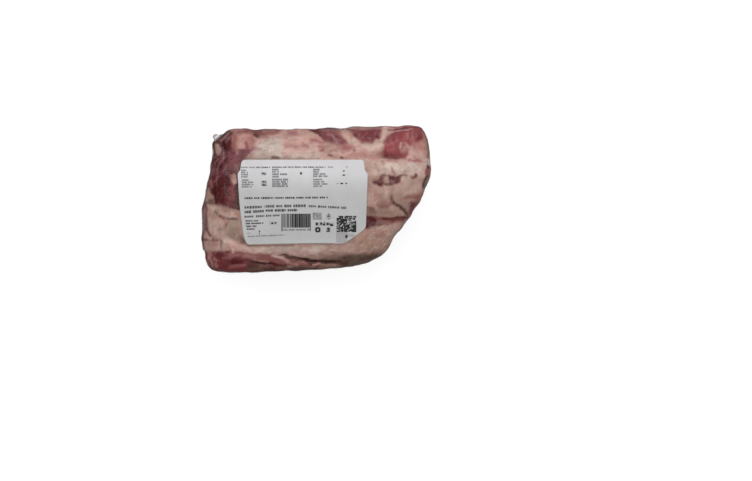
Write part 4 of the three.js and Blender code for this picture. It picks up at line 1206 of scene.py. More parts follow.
def new_group(name, inputs, outputs):
    """A shader node group of numbers, with inputs as {name: default}, and the node of what it is given."""
    group = bpy.data.node_groups.new(name, "ShaderNodeTree")
    for key, value in inputs.items():
        group.interface.new_socket(key, in_out="INPUT", socket_type="NodeSocketFloat").default_value = value
    for key in outputs:
        group.interface.new_socket(key, in_out="OUTPUT", socket_type="NodeSocketFloat")
    return group, add_node(group, "NodeGroupInput")


def place_group(tree, group, **values):
    """The group as a node in a material, with its own values."""
    return add_node(tree, "ShaderNodeGroup", node_tree=group, inputs=values)


def mottle_group():
    """Uneven shade at two sizes, from -1 to 1, on the piece's own coordinates."""
    if "mottle" in bpy.data.node_groups:
        return bpy.data.node_groups["mottle"]
    group, given = new_group("mottle", {"Coarse": 120.0, "Fine": 900.0}, ("Broad", "Grain"))
    place = own_coordinates(group)
    shades = {}
    for size, name in (("Coarse", "Broad"), ("Fine", "Grain")):
        cloud = add_node(group, "ShaderNodeTexNoise", {
            "Vector": place, "Scale": given.outputs[size], "Detail": 3.0, "Roughness": 0.6,
        })
        shades[name] = times(group, math_node(group, "SUBTRACT", cloud.outputs["Fac"], 0.5), 2.0)
    add_node(group, "NodeGroupOutput", shades)
    return group


def pucker_group():
    """Height of the fine puckers of shrunk film, on the piece's own coordinates."""
    if "puckers" in bpy.data.node_groups:
        return bpy.data.node_groups["puckers"]
    group, given = new_group("puckers", {"Scale": 260.0, "Stretch": 3.0}, ("Height",))
    place = own_coordinates(group)
    drift = add_node(group, "ShaderNodeTexNoise", {"Vector": place, "Scale": 28.0, "Detail": 1.0})
    bend = vector_math(group, "SCALE", {0: drift.outputs["Color"], "Scale": 0.03})
    bent = vector_math(group, "ADD", {0: place, 1: bend})
    x, y, z = add_node(group, "ShaderNodeSeparateXYZ", {0: bent}).outputs
    drawn = add_node(group, "ShaderNodeCombineXYZ", {
        0: math_node(group, "DIVIDE", x, given.outputs["Stretch"]), 1: y, 2: z,
    })
    puckers = add_node(group, "ShaderNodeTexNoise", {
        "Vector": drawn.outputs[0], "Scale": given.outputs["Scale"], "Detail": 2.0, "Roughness": 0.5,
    })
    add_node(group, "NodeGroupOutput", {"Height": puckers.outputs["Fac"]})
    return group


# Materials


def shaded(tree, mottle, broad, grain):
    """A grey round 1 that a mottle makes uneven, to multiply a colour by."""
    shade = times(tree, mottle.outputs["Broad"], broad)
    shade = plus(tree, shade, times(tree, mottle.outputs["Grain"], grain))
    shade = plus(tree, shade, 1.0)
    parts = {part: shade for part in ("Red", "Green", "Blue")}
    return add_node(tree, "ShaderNodeCombineColor", parts).outputs[0]


def put_out(tree, shader):
    """Ends a material's tree."""
    add_node(tree, "ShaderNodeOutputMaterial", {"Surface": shader})


def beef_material():
    """Meat: the painted tints, with mottling, threads of marbling in the lean and fine grain in the fat."""
    material, tree = new_material("beef")
    flesh = add_node(tree, "ShaderNodeAttribute", attribute_name="flesh")
    fat = add_node(tree, "ShaderNodeAttribute", attribute_name="fat").outputs["Fac"]
    place = own_coordinates(tree)
    mottle = place_group(tree, mottle_group(), Coarse=110.0, Fine=750.0)
    broad, grain = mottle.outputs["Broad"], mottle.outputs["Grain"]

    lean = math_node(tree, "SUBTRACT", 1.0, fat, clamp=True)
    colour = mix_colours(tree, 1.0, flesh.outputs["Color"], shaded(tree, mottle, 0.3, 0.22), "MULTIPLY")

    stains = place_group(tree, mottle_group(), Coarse=190.0, Fine=420.0)
    stain = times(tree, stains.outputs["Broad"], 2.6, clamp=True)
    stain = times(tree, times(tree, stain, fat), STAIN_COVER)
    colour = mix_colours(tree, stain, colour, opaque(from_srgb(STAIN)))
    streaky = times(tree, stains.outputs["Grain"], 2.4, clamp=True)
    veil = times(tree, times(tree, streaky, lean), VEIL_COVER)
    colour = mix_colours(tree, veil, colour, opaque(from_srgb(VEIL)))

    veins = add_node(tree, "ShaderNodeTexNoise", {
        "Vector": place, "Scale": 130.0, "Detail": 4.0, "Roughness": 0.62,
    })
    off = math_node(tree, "ABSOLUTE", math_node(tree, "SUBTRACT", veins.outputs["Fac"], 0.5))
    thread = math_node(tree, "SUBTRACT", 1.0, times(tree, off, 26.0), clamp=True)
    patchy = plus(tree, times(tree, broad, 2.0), 0.35, clamp=True)
    marbling = times(tree, times(tree, times(tree, thread, patchy), lean), MARBLING_COVER)
    colour = mix_colours(tree, marbling, colour, opaque(from_srgb(MARBLING)))

    lobules = add_node(tree, "ShaderNodeTexVoronoi", {"Vector": place, "Scale": 330.0}, feature="SMOOTH_F1")
    height = plus(tree, times(tree, grain, 0.5), times(tree, lobules.outputs["Distance"], fat))
    surface = add_node(tree, "ShaderNodeBsdfPrincipled", {
        "Base Color": colour,
        "Roughness": plus(tree, times(tree, fat, 0.12), 0.42),
        "Normal": bump_of(tree, height, 0.5, 0.3 * MM),
        "Specular IOR Level": 0.15, "Subsurface Weight": 0.12, "Subsurface Scale": 2 * MM,
    })
    put_out(tree, surface.outputs[0])
    return material


def clear_film(name, colour, milky, settings, pucker_depth, pucker_scale):
    """Clear glossy film: see-through where it is faced, a mirror where it is grazed.

    Its mesh's haze attribute makes it milky; on the film's folds that milkiness is a painted highlight.
    """
    material, tree = new_material(name)
    puckers = place_group(tree, pucker_group(), Scale=pucker_scale, Stretch=3.0)
    normal = bump_of(tree, puckers.outputs["Height"], 0.6, pucker_depth)
    clear = add_node(tree, "ShaderNodeBsdfTransparent", {"Color": opaque(colour)})
    gloss = add_node(tree, "ShaderNodeBsdfGlossy", {"Roughness": settings.roughness, "Normal": normal})
    facing = add_node(tree, "ShaderNodeLayerWeight", {"Blend": 0.5, "Normal": normal})
    grazed = math_node(tree, "POWER", facing.outputs["Facing"], 5.0)
    mirrored = plus(tree, times(tree, grazed, 0.9), settings.shine)
    film = mix_shaders(tree, mirrored, clear.outputs[0], gloss.outputs[0])
    milk = add_node(tree, "ShaderNodeBsdfPrincipled", {
        "Base Color": opaque(from_srgb(milky)), "Roughness": 0.35, "Normal": normal,
    })
    haze = add_node(tree, "ShaderNodeAttribute", attribute_name="haze").outputs["Fac"]
    put_out(tree, mix_shaders(tree, times(tree, haze, settings.haze), film, milk.outputs[0]))
    return material


def paper_material(settings):
    """Coated label paper with faint fibres, with painted shade that makes it greyer towards its foot."""
    material, tree = new_material("label_paper")
    mottle = place_group(tree, mottle_group(), Coarse=60.0, Fine=2200.0)
    parts = add_node(tree, "ShaderNodeSeparateXYZ", {0: own_coordinates(tree)})
    # Painted shade: the paper is greyer towards the label's foot.
    fade = add_node(tree, "ShaderNodeMapRange", {
        "Value": parts.outputs["Y"], "From Min": 0.0, "From Max": 26 * MM, "To Min": 0.0, "To Max": 1.0,
    }, interpolation_type="SMOOTHSTEP")
    colour = mix_colours(tree, fade.outputs["Result"], opaque(settings.paper), opaque(settings.paper_painted_lit_top))
    surface = add_node(tree, "ShaderNodeBsdfPrincipled", {
        "Base Color": mix_colours(tree, 1.0, colour, shaded(tree, mottle, 0.09, 0.07), "MULTIPLY"),
        "Normal": bump_of(tree, mottle.outputs["Grain"], 0.25, 0.1 * MM),
        "Roughness": 0.5, "Specular IOR Level": 0.3,
    })
    put_out(tree, surface.outputs[0])
    return material


def ink_material(name, colour):
    """Thermal print: slightly uneven."""
    if name in bpy.data.materials:
        return bpy.data.materials[name]
    material, tree = new_material(name)
    mottle = place_group(tree, mottle_group(), Coarse=300.0, Fine=2600.0)
    share = plus(tree, times(tree, mottle.outputs["Grain"], 0.5), 0.5, clamp=True)
    dense, thin = ([min(k * part, 1) for part in colour] for k in (0.75, 1.3))
    surface = add_node(tree, "ShaderNodeBsdfPrincipled", {
        "Base Color": mix_colours(tree, share, opaque(dense), opaque(thin)),
        "Roughness": 0.55, "Specular IOR Level": 0.3,
    })
    put_out(tree, surface.outputs[0])
    return material


def floor_material():
    """Lit white sweep that shows white to the camera and throws less light back up at the piece."""
    material, tree = new_material("floor")
    glow = add_node(tree, "ShaderNodeEmission", {"Color": (1, 1, 1, 1), "Strength": 0.8})
    matt, thrown = (
        add_node(tree, "ShaderNodeBsdfDiffuse", {"Color": colour}).outputs[0]
        for colour in ((0.4, 0.4, 0.4, 1), (0.16, 0.15, 0.15, 1))
    )
    seen = add_node(tree, "ShaderNodeAddShader", {0: glow.outputs[0], 1: matt})
    path = add_node(tree, "ShaderNodeLightPath")
    put_out(tree, mix_shaders(tree, path.outputs["Is Camera Ray"], thrown, seen.outputs[0]))
    return material


# Beef


def hidden_tints(points, tints):
    """Tints of the sides and the underside: seams of fat between layers of lean, marbled across both."""
    along = points * (0.45, 0.8, 1)
    layers = fractal_at(points * (0.8, 1, 2.6), 50 * MM, octaves=4, seed=4)
    depth = fractal_at(points, 20 * MM, octaves=3, seed=9)
    grain = fractal_at(along, 4 * MM, octaves=2, seed=13)
    seams = np.abs(fractal_at(points * (0.5, 1, 1.6), 28 * MM, octaves=3, seed=21))
    threads = np.abs(fractal_at(along, 9 * MM, octaves=3, seed=27))

    tone = np.clip(0.5 + 0.8 * depth + 0.5 * grain, 0, 1)[:, None]
    lean = tints["lean_maroon"] + tone * (tints["lean_rose"] - tints["lean_maroon"])
    fat = tints["fat_pink"] + tone * (tints["fat_cream"] - tints["fat_pink"])
    fatty = smooth_step(layers + 0.12 * grain, -0.02, 0.05)
    fatty = np.maximum(fatty, 1 - smooth_step(seams, 0.015, 0.05))
    fatty = np.maximum(fatty, 0.55 * (1 - smooth_step(threads, 0.01, 0.06)))[:, None]
    mixed = lean + fatty * (fat - lean)
    gaps = 0.6 * (1 - smooth_step(np.abs(layers + 0.06), 0.004, 0.03))[:, None]
    return mixed + gaps * (tints["lean_deep"] - mixed)


class RIBEYE_OT_beef(Operator):
    """Builds the meat from the solid of the wrapped piece."""

    bl_idname = "ribeye.beef"
    bl_label = "Beef"

    def execute(self, context):
        settings = context.scene.beef
        mesh = even_skin("wrapped_beef", settings.cell, settings.smoothing)
        points = points_of(mesh)
        points = pushed_out(points, seen_on_marks_plane(points), normals_of(mesh), RIM)
        put_points(mesh, points)
        drift = np.column_stack([fractal_at(points, 11 * MM, 3, seed) for seed in (11, 23)])
        fray = np.column_stack([fractal_at(points, 3.4 * MM, 2, seed) for seed in (3, 17)])
        wander = (drift * settings.wander + fray * settings.fraying) / MM
        on_top = smooth_step(points[:, 2] + END_RIPPLE * drift[:, 0], *MARKS_END)
        tints = named_tints()
        base = hidden_tints(points, tints)

        out = normals_of(mesh)
        lumps = fractal_at(points, settings.lump_size, 3, seed=2) * settings.lump_height
        relief = on_top * rise_of(TOP_RELIEF, seen_on_marks_plane(points) + wander) * MM
        points = points + out * (lumps + relief - context.scene.film.gap)[:, None]
        points[:, 2] = np.maximum(points[:, 2], 2 * context.scene.film.gap)
        put_points(mesh, points)

        marks = expanded(TOP_MARKS, settings.seed)
        ground = np.tile(tints["fat_tan"], (len(points), 1))
        painted = paint(seen_on_marks_plane(points) + wander, ground, marks, tints, settings.blending)
        colours = base + on_top[:, None] * (painted - base)
        # Painted light: the upper side's colours are made lighter the steeper it slopes.
        slope = 1 - np.clip(out[:, 2], 0, 1)
        colours[:, :3] *= (1 + settings.painted_rim_light * on_top * slope)[:, None]
        add_attribute(mesh, "flesh", "FLOAT_COLOR", np.column_stack((colours[:, :3], np.ones(len(points)))))
        add_attribute(mesh, "fat", "FLOAT", colours[:, 3])

        piece = link_piece("beef", mesh, beef_material())
        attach(piece, "root")
        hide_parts("wrapped_beef")
        return {"FINISHED"}


# Film


def wrinkles_at(points):
    """The film's own wrinkles, to about 1: gathers at the seal's end, and folds and pleats down the sides."""
    gathers = noise_at(points * (1, 1, 0.16), 4.2 * MM, seed=31)
    at_height = np.exp(-(((points[:, 2] - GATHERS_HEIGHT) / GATHERS_REACH) ** 2))
    at_end = smooth_step(-points[:, 0], *GATHERS_FROM) * at_height
    folds = 1 - np.abs(noise_at(points * (0.35, 1, 1), 16 * MM, seed=47)) * 7
    pleats = 1 - np.abs(noise_at(points * (1, 1, 0.3), 8 * MM, seed=53)) * 5
    aside = 1 - smooth_step(points[:, 2], *SIDE_FOLDS_END)
    side_folds = np.clip(folds, 0, 1) ** 2 + np.clip(pleats, 0, 1) ** 2
    return 1.3 * gathers * at_end + 0.8 * side_folds * aside


class RIBEYE_OT_film(Operator):
    """Builds the clear film drawn tight over the beef."""

    bl_idname = "ribeye.film"
    bl_label = "Film"

    def execute(self, context):
        settings = context.scene.film
        mesh = bpy.data.objects["beef"].data.copy()
        mesh.name = "film"
        for name in ("flesh", "fat"):
            mesh.attributes.remove(mesh.attributes[name])
        meat, edges, out = points_of(mesh), edges_of(mesh), normals_of(mesh)
        drawn = relax(meat, edges, settings.bridging)
        proud = np.maximum(np.einsum("ij,ij->i", meat - drawn, out), 0)
        at = seen_on_marks_plane(meat)
        on_top = smooth_step(meat[:, 2], *FOLDS_END)
        folds = on_top * rise_of(FILM_FOLDS, at)
        wrinkles = wrinkles_at(meat)
        rise = relax(proud, edges, 2) + settings.gap + settings.wrinkle_height * wrinkles + folds * MM
        points = drawn + out * rise[:, None]
        points[:, 2] = np.maximum(points[:, 2], settings.gap * 0.3)
        put_points(mesh, points)
        # Painted highlight: the folds' share of the haze whitens the film where they lie; the wrinkles' share
        # is the film's own milkiness.
        haze = np.clip(1.3 * folds + 0.45 * wrinkles, 0, 1) ** 1.5
        add_attribute(mesh, "haze", "FLOAT", haze)
        film = clear_film("film", FILM_CLEAR, FILM_MILKY, settings, pucker_depth=0.1 * MM, pucker_scale=260)
        piece = link_piece("film", mesh, film)
        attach(piece, "root")
        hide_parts("wrapped_beef")
        return {"FINISHED"}


# Seal


class RIBEYE_OT_seal(Operator):
    """Builds the welded seal and its ear from their solid."""

    bl_idname = "ribeye.seal"
    bl_label = "Seal"

    def execute(self, context):
        settings = context.scene.film
        mesh = even_skin("bag_seal", SEAL_CELL, rounds=3)
        points, out = points_of(mesh), normals_of(mesh)
        tree = surface_tree("film")
        free = np.zeros(len(points))
        for k, point in enumerate(points):
            touch, _, _, distance = tree.find_nearest(Vector(point))
            free[k] = smooth_step(distance, *SEAL_FREE)
            points[k] += (np.array(touch) - point) * settings.pull * (1 - free[k])
        crimps = np.sin(points[:, 2] / CRIMP_PITCH * 2 * math.pi) * CRIMP_HEIGHT
        waves = noise_at(points, WAVE_SIZE, seed=5) * WAVE_HEIGHT
        points += out * (crimps + waves)[:, None]
        seen = seen_on_marks_plane(points)
        ear = smooth_step(seen[:, 1], *EAR_FROM)
        hollow = np.exp(-np.sum((seen - EAR_HOLLOW) ** 2, axis=1) / HOLLOW_SPREAD)
        points[:, :2] += np.outer(ear, EAR_LEAN)
        put_points(mesh, points)
        foot = ear * (1 - smooth_step(seen[:, 0], *EAR_FOOT))
        add_attribute(mesh, "haze", "FLOAT", 0.1 + 1.1 * np.maximum(free, foot) * (1 - 0.6 * hollow))
        film = clear_film("seal", SEAL_CLEAR, SEAL_MILKY, settings, pucker_depth=0.3 * MM, pucker_scale=500)
        piece = link_piece("seal", mesh, film)
        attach(piece, "root")
        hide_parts("bag_seal")
        return {"FINISHED"}


# Label


def rounded_outline(corners):
    """The outline with its corners rounded, as an array of points in order."""
    points = []
    count = len(corners)
    for i, (x, y, radius) in enumerate(corners):
        at = np.array([x, y])
        ends = []
        for other in (corners[i - 1], corners[(i + 1) % count]):
            side = np.array(other[:2]) - at
            length = np.linalg.norm(side)
            ends.append(at + side / length * min(radius, 0.45 * length))
        for t in np.linspace(0, 1, 9):
            points.append((1 - t) ** 2 * ends[0] + 2 * t * (1 - t) * at + t * t * ends[1])
    return np.array(points)


def stretch_between(outline, start, end, count):
    """Evenly spaced points along the outline from its point nearest to start to that nearest to end."""
    first = int(np.argmin(np.linalg.norm(outline - start, axis=1)))
    last = int(np.argmin(np.linalg.norm(outline - end, axis=1)))
    if last <= first:
        last += len(outline)
    way = outline[np.arange(first, last + 1) % len(outline)]
    steps = np.concatenate(([0], np.cumsum(np.linalg.norm(np.diff(way, axis=0), axis=1))))
    spots = np.linspace(0, steps[-1], count)
    return np.column_stack([np.interp(spots, steps, way[:, k]) for k in (0, 1)])


def label_grid(columns, rows):
    """Points of the label on the marks plane, rows by columns, blended from its four edges."""
    outline = rounded_outline(LABEL_CORNERS)
    corners = [LABEL_CORNERS[k][:2] for k in SIDE_ENDS]
    foot = stretch_between(outline, corners[0], corners[1], columns)
    right = stretch_between(outline, corners[1], corners[2], rows)
    top = stretch_between(outline, corners[2], corners[3], columns)[::-1]
    left = stretch_between(outline, corners[3], corners[0], rows)[::-1]
    s = np.linspace(0, 1, columns)[None, :, None]
    t = np.linspace(0, 1, rows)[:, None, None]
    across = (1 - s) * left[:, None] + s * right[:, None]
    up = (1 - t) * foot[None] + t * top[None]
    both = (1 - s) * (1 - t) * foot[0] + s * (1 - t) * foot[-1] + (1 - s) * t * top[0] + s * t * top[-1]
    return across + up - both


def blur_grid(values, rounds):
    """Smooths a grid of values, with its edges kept free."""
    for _ in range(rounds):
        padded = np.pad(values, 1, mode="edge")
        values = (padded[:-2, 1:-1] + padded[2:, 1:-1] + padded[1:-1, :-2] + padded[1:-1, 2:]) / 4
    return values


class RIBEYE_OT_label(Operator):
    """Builds the paper label, laid over the film along the camera's lines of sight."""

    bl_idname = "ribeye.label"
    bl_label = "Label"

    def execute(self, context):
        settings = context.scene.label
        columns, rows = (round(size * MM / settings.cell) for size in LABEL_SIZE)
        flat = label_grid(columns, rows)
        tree = surface_tree("film")
        reach = np.empty((rows, columns))
        sight = np.empty((rows, columns, 3))
        for r in range(rows):
            for c in range(columns):
                x, y = flat[r, c] * MM
                way = (Vector((x, y, MARKS_LEVEL)) - CAMERA).normalized()
                sight[r, c] = way
                reach[r, c] = tree.ray_cast(CAMERA, way)[3]
        stiff = blur_grid(reach, STIFF_ROUNDS)
        under = blur_grid(np.minimum(stiff, reach), SETTLE_ROUNDS) - settings.lift
        eye = np.array(CAMERA)
        layers = [eye + sight * (under - rise)[..., None] for rise in (0.0, settings.thickness)]
        mesh = self.sheet(layers, rows, columns)
        piece = link_piece("label_paper", mesh, paper_material(settings))
        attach(piece, "root")
        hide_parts("label")
        return {"FINISHED"}

    @staticmethod
    def sheet(layers, rows, columns):
        """A closed sheet from an under and an upper layer of points."""
        points = np.concatenate([layer.reshape(-1, 3) for layer in layers])
        number = np.arange(rows * columns).reshape(rows, columns)
        a, b = number[:-1, :-1], number[:-1, 1:]
        c, d = number[1:, 1:], number[1:, :-1]
        upper = np.stack((a, b, c, d), axis=-1).reshape(-1, 4) + rows * columns
        lower = np.stack((a, d, c, b), axis=-1).reshape(-1, 4)
        rim = np.concatenate((number[0], number[1:, -1], number[-1, -2::-1], number[-2:0:-1, 0]))
        following = np.roll(rim, -1)
        wall = np.column_stack((rim, following, following + rows * columns, rim + rows * columns))
        mesh = bpy.data.meshes.new("label_paper")
        mesh.from_pydata(points.tolist(), [], np.concatenate((upper, lower, wall)).tolist())
        return mesh


# Print


def dash_row(line, rng):
    """Made-up words as dashes along a line: (middle, width, height) of each."""
    start, end = np.array(line.start), np.array(line.end)
    length = np.linalg.norm(end - start)
    along = (end - start) / length
    spot, marks, left_in_word = 0.0, [], rng.randint(*WORD)
    while spot < length - 0.4:
        width = min(rng.uniform(*DASH_WIDTH) * line.height, length - spot)
        rise = rng.uniform(*DASH_HEIGHT) * line.height
        marks.append((start + along * (spot + width / 2), width, rise * (0.7 + 0.4 * line.full)))
        left_in_word -= 1
        gap = (DASH_GAP + EMPTY_GAP * (1 - line.full)) * line.height
        if left_in_word == 0:
            gap += WORD_GAP * line.height
            left_in_word = rng.randint(*WORD)
        spot += width + gap
    return marks


def bar_code(code, rng):
    """Bars of made-up widths, denser towards the right."""
    module = (code["right"] - code["left"]) / code["modules"]
    spot, marks = 0, []
    while spot < code["modules"]:
        guard = spot < code["guard"] or spot >= code["modules"] - code["guard"]
        dense = spot > code["dense_from"] * code["modules"]
        bar = 1 if guard else rng.choice((2, 3, 4, 5) if dense else (1, 1, 2))
        gap = 1 if guard or dense else rng.choice((1, 1, 1, 2))
        foot = code["guard_foot"] if guard else code["foot"]
        x = code["left"] + (spot + bar / 2) * module
        width = (bar + 0.35 if dense else bar + 0.15) * module
        marks.append(((x, (code["top"] + foot) / 2), width, code["top"] - foot))
        spot += bar + gap
    return marks


def square_code(code, rng):
    """Seeded squares in rows and columns, runs in a row joined, fuller or emptier towards the foot."""
    width = (code["right"] - code["left"]) / code["columns"]
    height = (code["top"] - code["foot"]) / code["rows"]
    top, foot = code["shares"]
    marks = []
    for r in range(code["rows"]):
        y = code["top"] - (r + 0.5) * height
        share = top + (foot - top) * r / code["rows"]
        run = 0
        for c in range(code["columns"] + 1):
            dark = c < code["columns"] and rng.random() < share
            if dark:
                run += 1
            elif run:
                x = code["left"] + (c - run / 2) * width
                marks.append(((x, y), (run + 0.15) * width, 1.15 * height))
                run = 0
    return marks


def ring_marks(ring):
    """A plain ring of small squares."""
    marks = []
    for k in range(ring["parts"]):
        turn = 2 * math.pi * k / ring["parts"]
        x = ring["middle"][0] + ring["radius"] * math.cos(turn)
        y = ring["middle"][1] + ring["radius"] * math.sin(turn)
        marks.append(((x, y), ring["bar"], ring["bar"]))
    return marks


def frame_marks(panel):
    """Four thin bars round a panel."""
    x = (panel["left"] + panel["right"]) / 2
    y = (panel["top"] + panel["foot"]) / 2
    wide, high, bar = panel["right"] - panel["left"], panel["top"] - panel["foot"], panel["bar"]
    return [
        ((x, panel["top"]), wide, bar), ((x, panel["foot"]), wide, bar),
        ((panel["left"], y), bar, high), ((panel["right"], y), bar, high),
    ]


def print_tree():
    """Geometry nodes that set a thin block on every point and lay it on the paper below."""
    if "print_on_paper" in bpy.data.node_groups:
        return bpy.data.node_groups["print_on_paper"]
    tree = bpy.data.node_groups.new("print_on_paper", "GeometryNodeTree")
    kinds = {
        "Points": "Geometry", "Paper": "Object", "Camera": "Vector", "Ink height": "Float",
        "Cuts across": "Int", "Cuts up": "Int", "Material": "Material",
    }
    for name, kind in kinds.items():
        tree.interface.new_socket(name, in_out="INPUT", socket_type=f"NodeSocket{kind}")
    tree.interface.new_socket("Print", in_out="OUTPUT", socket_type="NodeSocketGeometry")
    given = add_node(tree, "NodeGroupInput").outputs

    block = add_node(tree, "GeometryNodeMeshCube", {
        "Size": (1, 1, 1), "Vertices X": given["Cuts across"], "Vertices Y": given["Cuts up"],
        "Vertices Z": 2,
    })
    span = add_node(tree, "GeometryNodeInputNamedAttribute", {"Name": "span"}, data_type="FLOAT_VECTOR")
    blocks = add_node(tree, "GeometryNodeInstanceOnPoints", {
        "Points": given["Points"], "Instance": block.outputs["Mesh"], "Scale": span.outputs["Attribute"],
    })
    real = add_node(tree, "GeometryNodeRealizeInstances", {0: blocks.outputs[0]})

    place = add_node(tree, "GeometryNodeInputPosition").outputs[0]
    paper = add_node(tree, "GeometryNodeObjectInfo", {"Object": given["Paper"]})
    cast = add_node(tree, "GeometryNodeRaycast", {
        "Target Geometry": paper.outputs["Geometry"],
        "Source Position": given["Camera"],
        "Ray Direction": vector_math(tree, "SUBTRACT", {0: place, 1: given["Camera"]}),
        "Ray Length": 5.0,
    })
    level = add_node(tree, "ShaderNodeSeparateXYZ", {0: place}).outputs["Z"]
    over = math_node(tree, "SUBTRACT", level, MARKS_LEVEL)
    rise = plus(tree, over, times(tree, given["Ink height"], INK_OVER_PAPER))
    lift = add_node(tree, "ShaderNodeCombineXYZ", {"Z": rise})
    landed = vector_math(tree, "ADD", {0: cast.outputs["Hit Position"], 1: lift.outputs[0]})
    laid = add_node(tree, "GeometryNodeSetPosition", {"Geometry": real.outputs[0], "Position": landed})
    coat = {"Geometry": laid.outputs[0], "Material": given["Material"]}
    inked = add_node(tree, "GeometryNodeSetMaterial", coat)
    add_node(tree, "NodeGroupOutput", {0: inked.outputs[0]})
    return tree


def set_inputs(modifier, values):
    """Sets a geometry nodes modifier's inputs, given by name."""
    for item in modifier.node_group.interface.items_tree:
        if item.in_out == "INPUT" and item.name in values:
            modifier[item.identifier] = values[item.name]


def box_marks(boxes):
    """The blocks, each drawn smaller the emptier it is."""
    return [(box.middle, box.width * box.full**0.3, box.height * box.full**0.3) for box in boxes]


def printed_piece(name, marks, ink, settings, cuts=(3, 3)):
    """The marks, (middle, width, height) of each on the marks plane, as thin blocks laid on the paper."""
    material = ink_material(f"label_{ink}_ink", getattr(settings, ink))
    ink_height = settings.ink_height * (FIELD_HEIGHT if ink == "field" else 1)
    mesh = bpy.data.meshes.new(name)
    mesh.from_pydata([(x * MM, y * MM, MARKS_LEVEL) for (x, y), _, _ in marks], [], [])
    spans = np.array([(width * MM, height * MM, ink_height) for _, width, height in marks])
    add_attribute(mesh, "span", "FLOAT_VECTOR", spans)
    maker = new_object("maker", mesh)
    modifier = maker.modifiers.new("Print", "NODES")
    modifier.node_group = print_tree()
    set_inputs(modifier, {
        "Paper": bpy.data.objects["label_paper"], "Camera": CAMERA, "Ink height": settings.ink_height,
        "Cuts across": cuts[0], "Cuts up": cuts[1], "Material": material,
    })
    printed = made_by(maker)
    printed.name = name
    piece = link_piece(name, printed, material)
    printed.shade_flat()
    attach(piece, "root")
    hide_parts("label")


class RIBEYE_OT_print(Operator):
    """Prints made-up text lines, a bar code, a square code and small marks on the label."""

    bl_idname = "ribeye.print"
    bl_label = "Print"

    def execute(self, context):
        settings = context.scene.label
        rng = random.Random(settings.seed)
        dashes = {ink: [] for ink in ("dark", "worn", "grey")}
        for line in TEXT_LINES:
            dashes[line.ink] += dash_row(line, rng)
        for ink, marks in dashes.items():
            printed_piece(f"label_{ink}_text", marks, ink, settings)
        printed_piece("label_bar_code", bar_code(BAR_CODE, rng), "dark", settings, cuts=(2, 18))
        printed_piece("label_square_code", square_code(SQUARE_CODE, rng), "dark", settings)
        printed_piece("label_marks", box_marks(MARK_BOXES) + ring_marks(RING), "dark", settings)
        printed_piece("label_fields", box_marks(FIELDS), "field", settings, cuts=(8, 8))
        pale = square_code(PALE_CODE, rng) + frame_marks(PALE_PANEL)
        printed_piece("label_pale_marks", pale, "grey", settings, cuts=(10, 10))
        return {"FINISHED"}


# Stage


def area_light(name, place, size, power):
    """A soft rectangular light that faces the piece."""
    data = bpy.data.lights.new(name, "AREA")
    data.shape = "RECTANGLE"
    data.size, data.size_y = size
    data.energy = power
    light = new_object(name, data)
    light.location = place
    light.rotation_euler = (Vector(LIGHTS_TARGET) - Vector(place)).to_track_quat("-Z", "Y").to_euler()


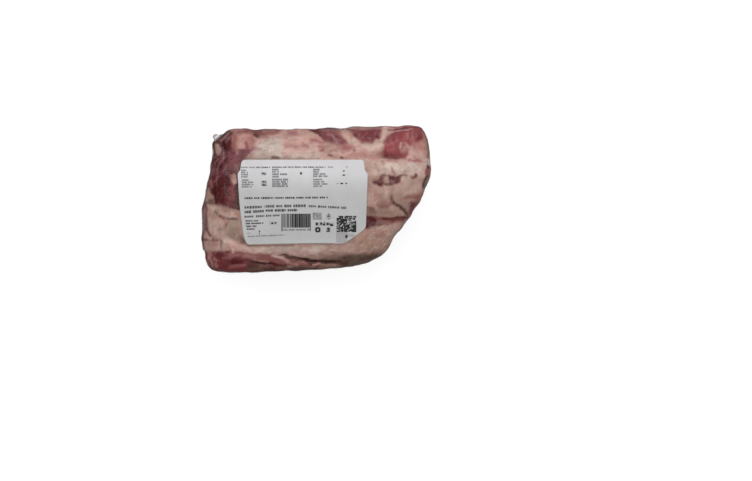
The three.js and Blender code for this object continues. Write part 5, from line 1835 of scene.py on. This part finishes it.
class RIBEYE_OT_stage(Operator):
    """Sets the floor, the soft lights and the camera."""

    bl_idname = "ribeye.stage"
    bl_label = "Stage"

    def execute(self, context):
        settings = context.scene.stage
        scene = context.scene
        mesh = bpy.data.meshes.new("floor")
        corners = [(x * FLOOR_HALF, y * FLOOR_HALF, 0) for x, y in ((-1, -1), (1, -1), (1, 1), (-1, 1))]
        mesh.from_pydata(corners, [], [(0, 1, 2, 3)])
        link_piece("floor", mesh, floor_material())

        area_light("key", place=(0.08, 0.95, 1.0), size=(1.3, 0.8), power=settings.key_power)
        area_light("left", place=(-1.0, 0.1, 0.95), size=(0.8, 1.2), power=settings.side_power)
        area_light("right", place=(1.0, 0.05, 0.95), size=(0.8, 1.2), power=settings.side_power)
        area_light("front", place=(-0.1, -1.0, 0.95), size=(1.3, 0.8), power=settings.front_power)

        world = bpy.data.worlds.new("studio")
        scene.world = world
        world.use_nodes = True
        back = world.node_tree.nodes["Background"]
        back.inputs["Color"].default_value = (1, 1, 1, 1)
        back.inputs["Strength"].default_value = settings.ambient

        data = bpy.data.cameras.new("camera")
        data.lens = settings.lens
        camera = new_object("camera", data)
        camera.location = CAMERA
        scene.camera = camera
        scene.view_settings.view_transform = "Standard"
        return {"FINISHED"}


class RIBEYE_PT_panel(Panel):
    """Lists the pieces and their settings."""

    bl_label = "Packed ribeye piece"
    bl_space_type = "VIEW_3D"
    bl_region_type = "UI"
    bl_category = "Ribeye"

    def draw(self, context):
        layout = self.layout
        for operator, group in STEPS:
            layout.operator(operator.bl_idname)
            if group is None:
                continue
            column = layout.column(align=True)
            for name in group.__annotations__:
                column.prop(getattr(context.scene, SETTINGS[group]), name)
        column = layout.column(align=True)
        for name in MeatTints.__annotations__:
            column.prop(context.scene.meat_tints, name)


STEPS = [
    (RIBEYE_OT_stage, StageSettings),
    (RIBEYE_OT_beef, BeefSettings),
    (RIBEYE_OT_film, FilmSettings),
    (RIBEYE_OT_seal, None),
    (RIBEYE_OT_label, LabelSettings),
    (RIBEYE_OT_print, None),
]
SETTINGS = {
    MeatTints: "meat_tints",
    BeefSettings: "beef",
    FilmSettings: "film",
    LabelSettings: "label",
    StageSettings: "stage",
}


def register():
    for group, name in SETTINGS.items():
        bpy.utils.register_class(group)
        setattr(bpy.types.Scene, name, PointerProperty(type=group))
    for operator, _ in STEPS:
        bpy.utils.register_class(operator)
    bpy.utils.register_class(RIBEYE_PT_panel)


def unregister():
    bpy.utils.unregister_class(RIBEYE_PT_panel)
    for operator, _ in reversed(STEPS):
        bpy.utils.unregister_class(operator)
    for group, name in SETTINGS.items():
        delattr(bpy.types.Scene, name)
        bpy.utils.unregister_class(group)


def main():
    register()
    bpy.ops.ribeye.stage()
    bpy.ops.ribeye.beef()
    bpy.ops.ribeye.film()
    bpy.ops.ribeye.seal()
    bpy.ops.ribeye.label()
    bpy.ops.ribeye.print()


if __name__ == "__main__":
    main()
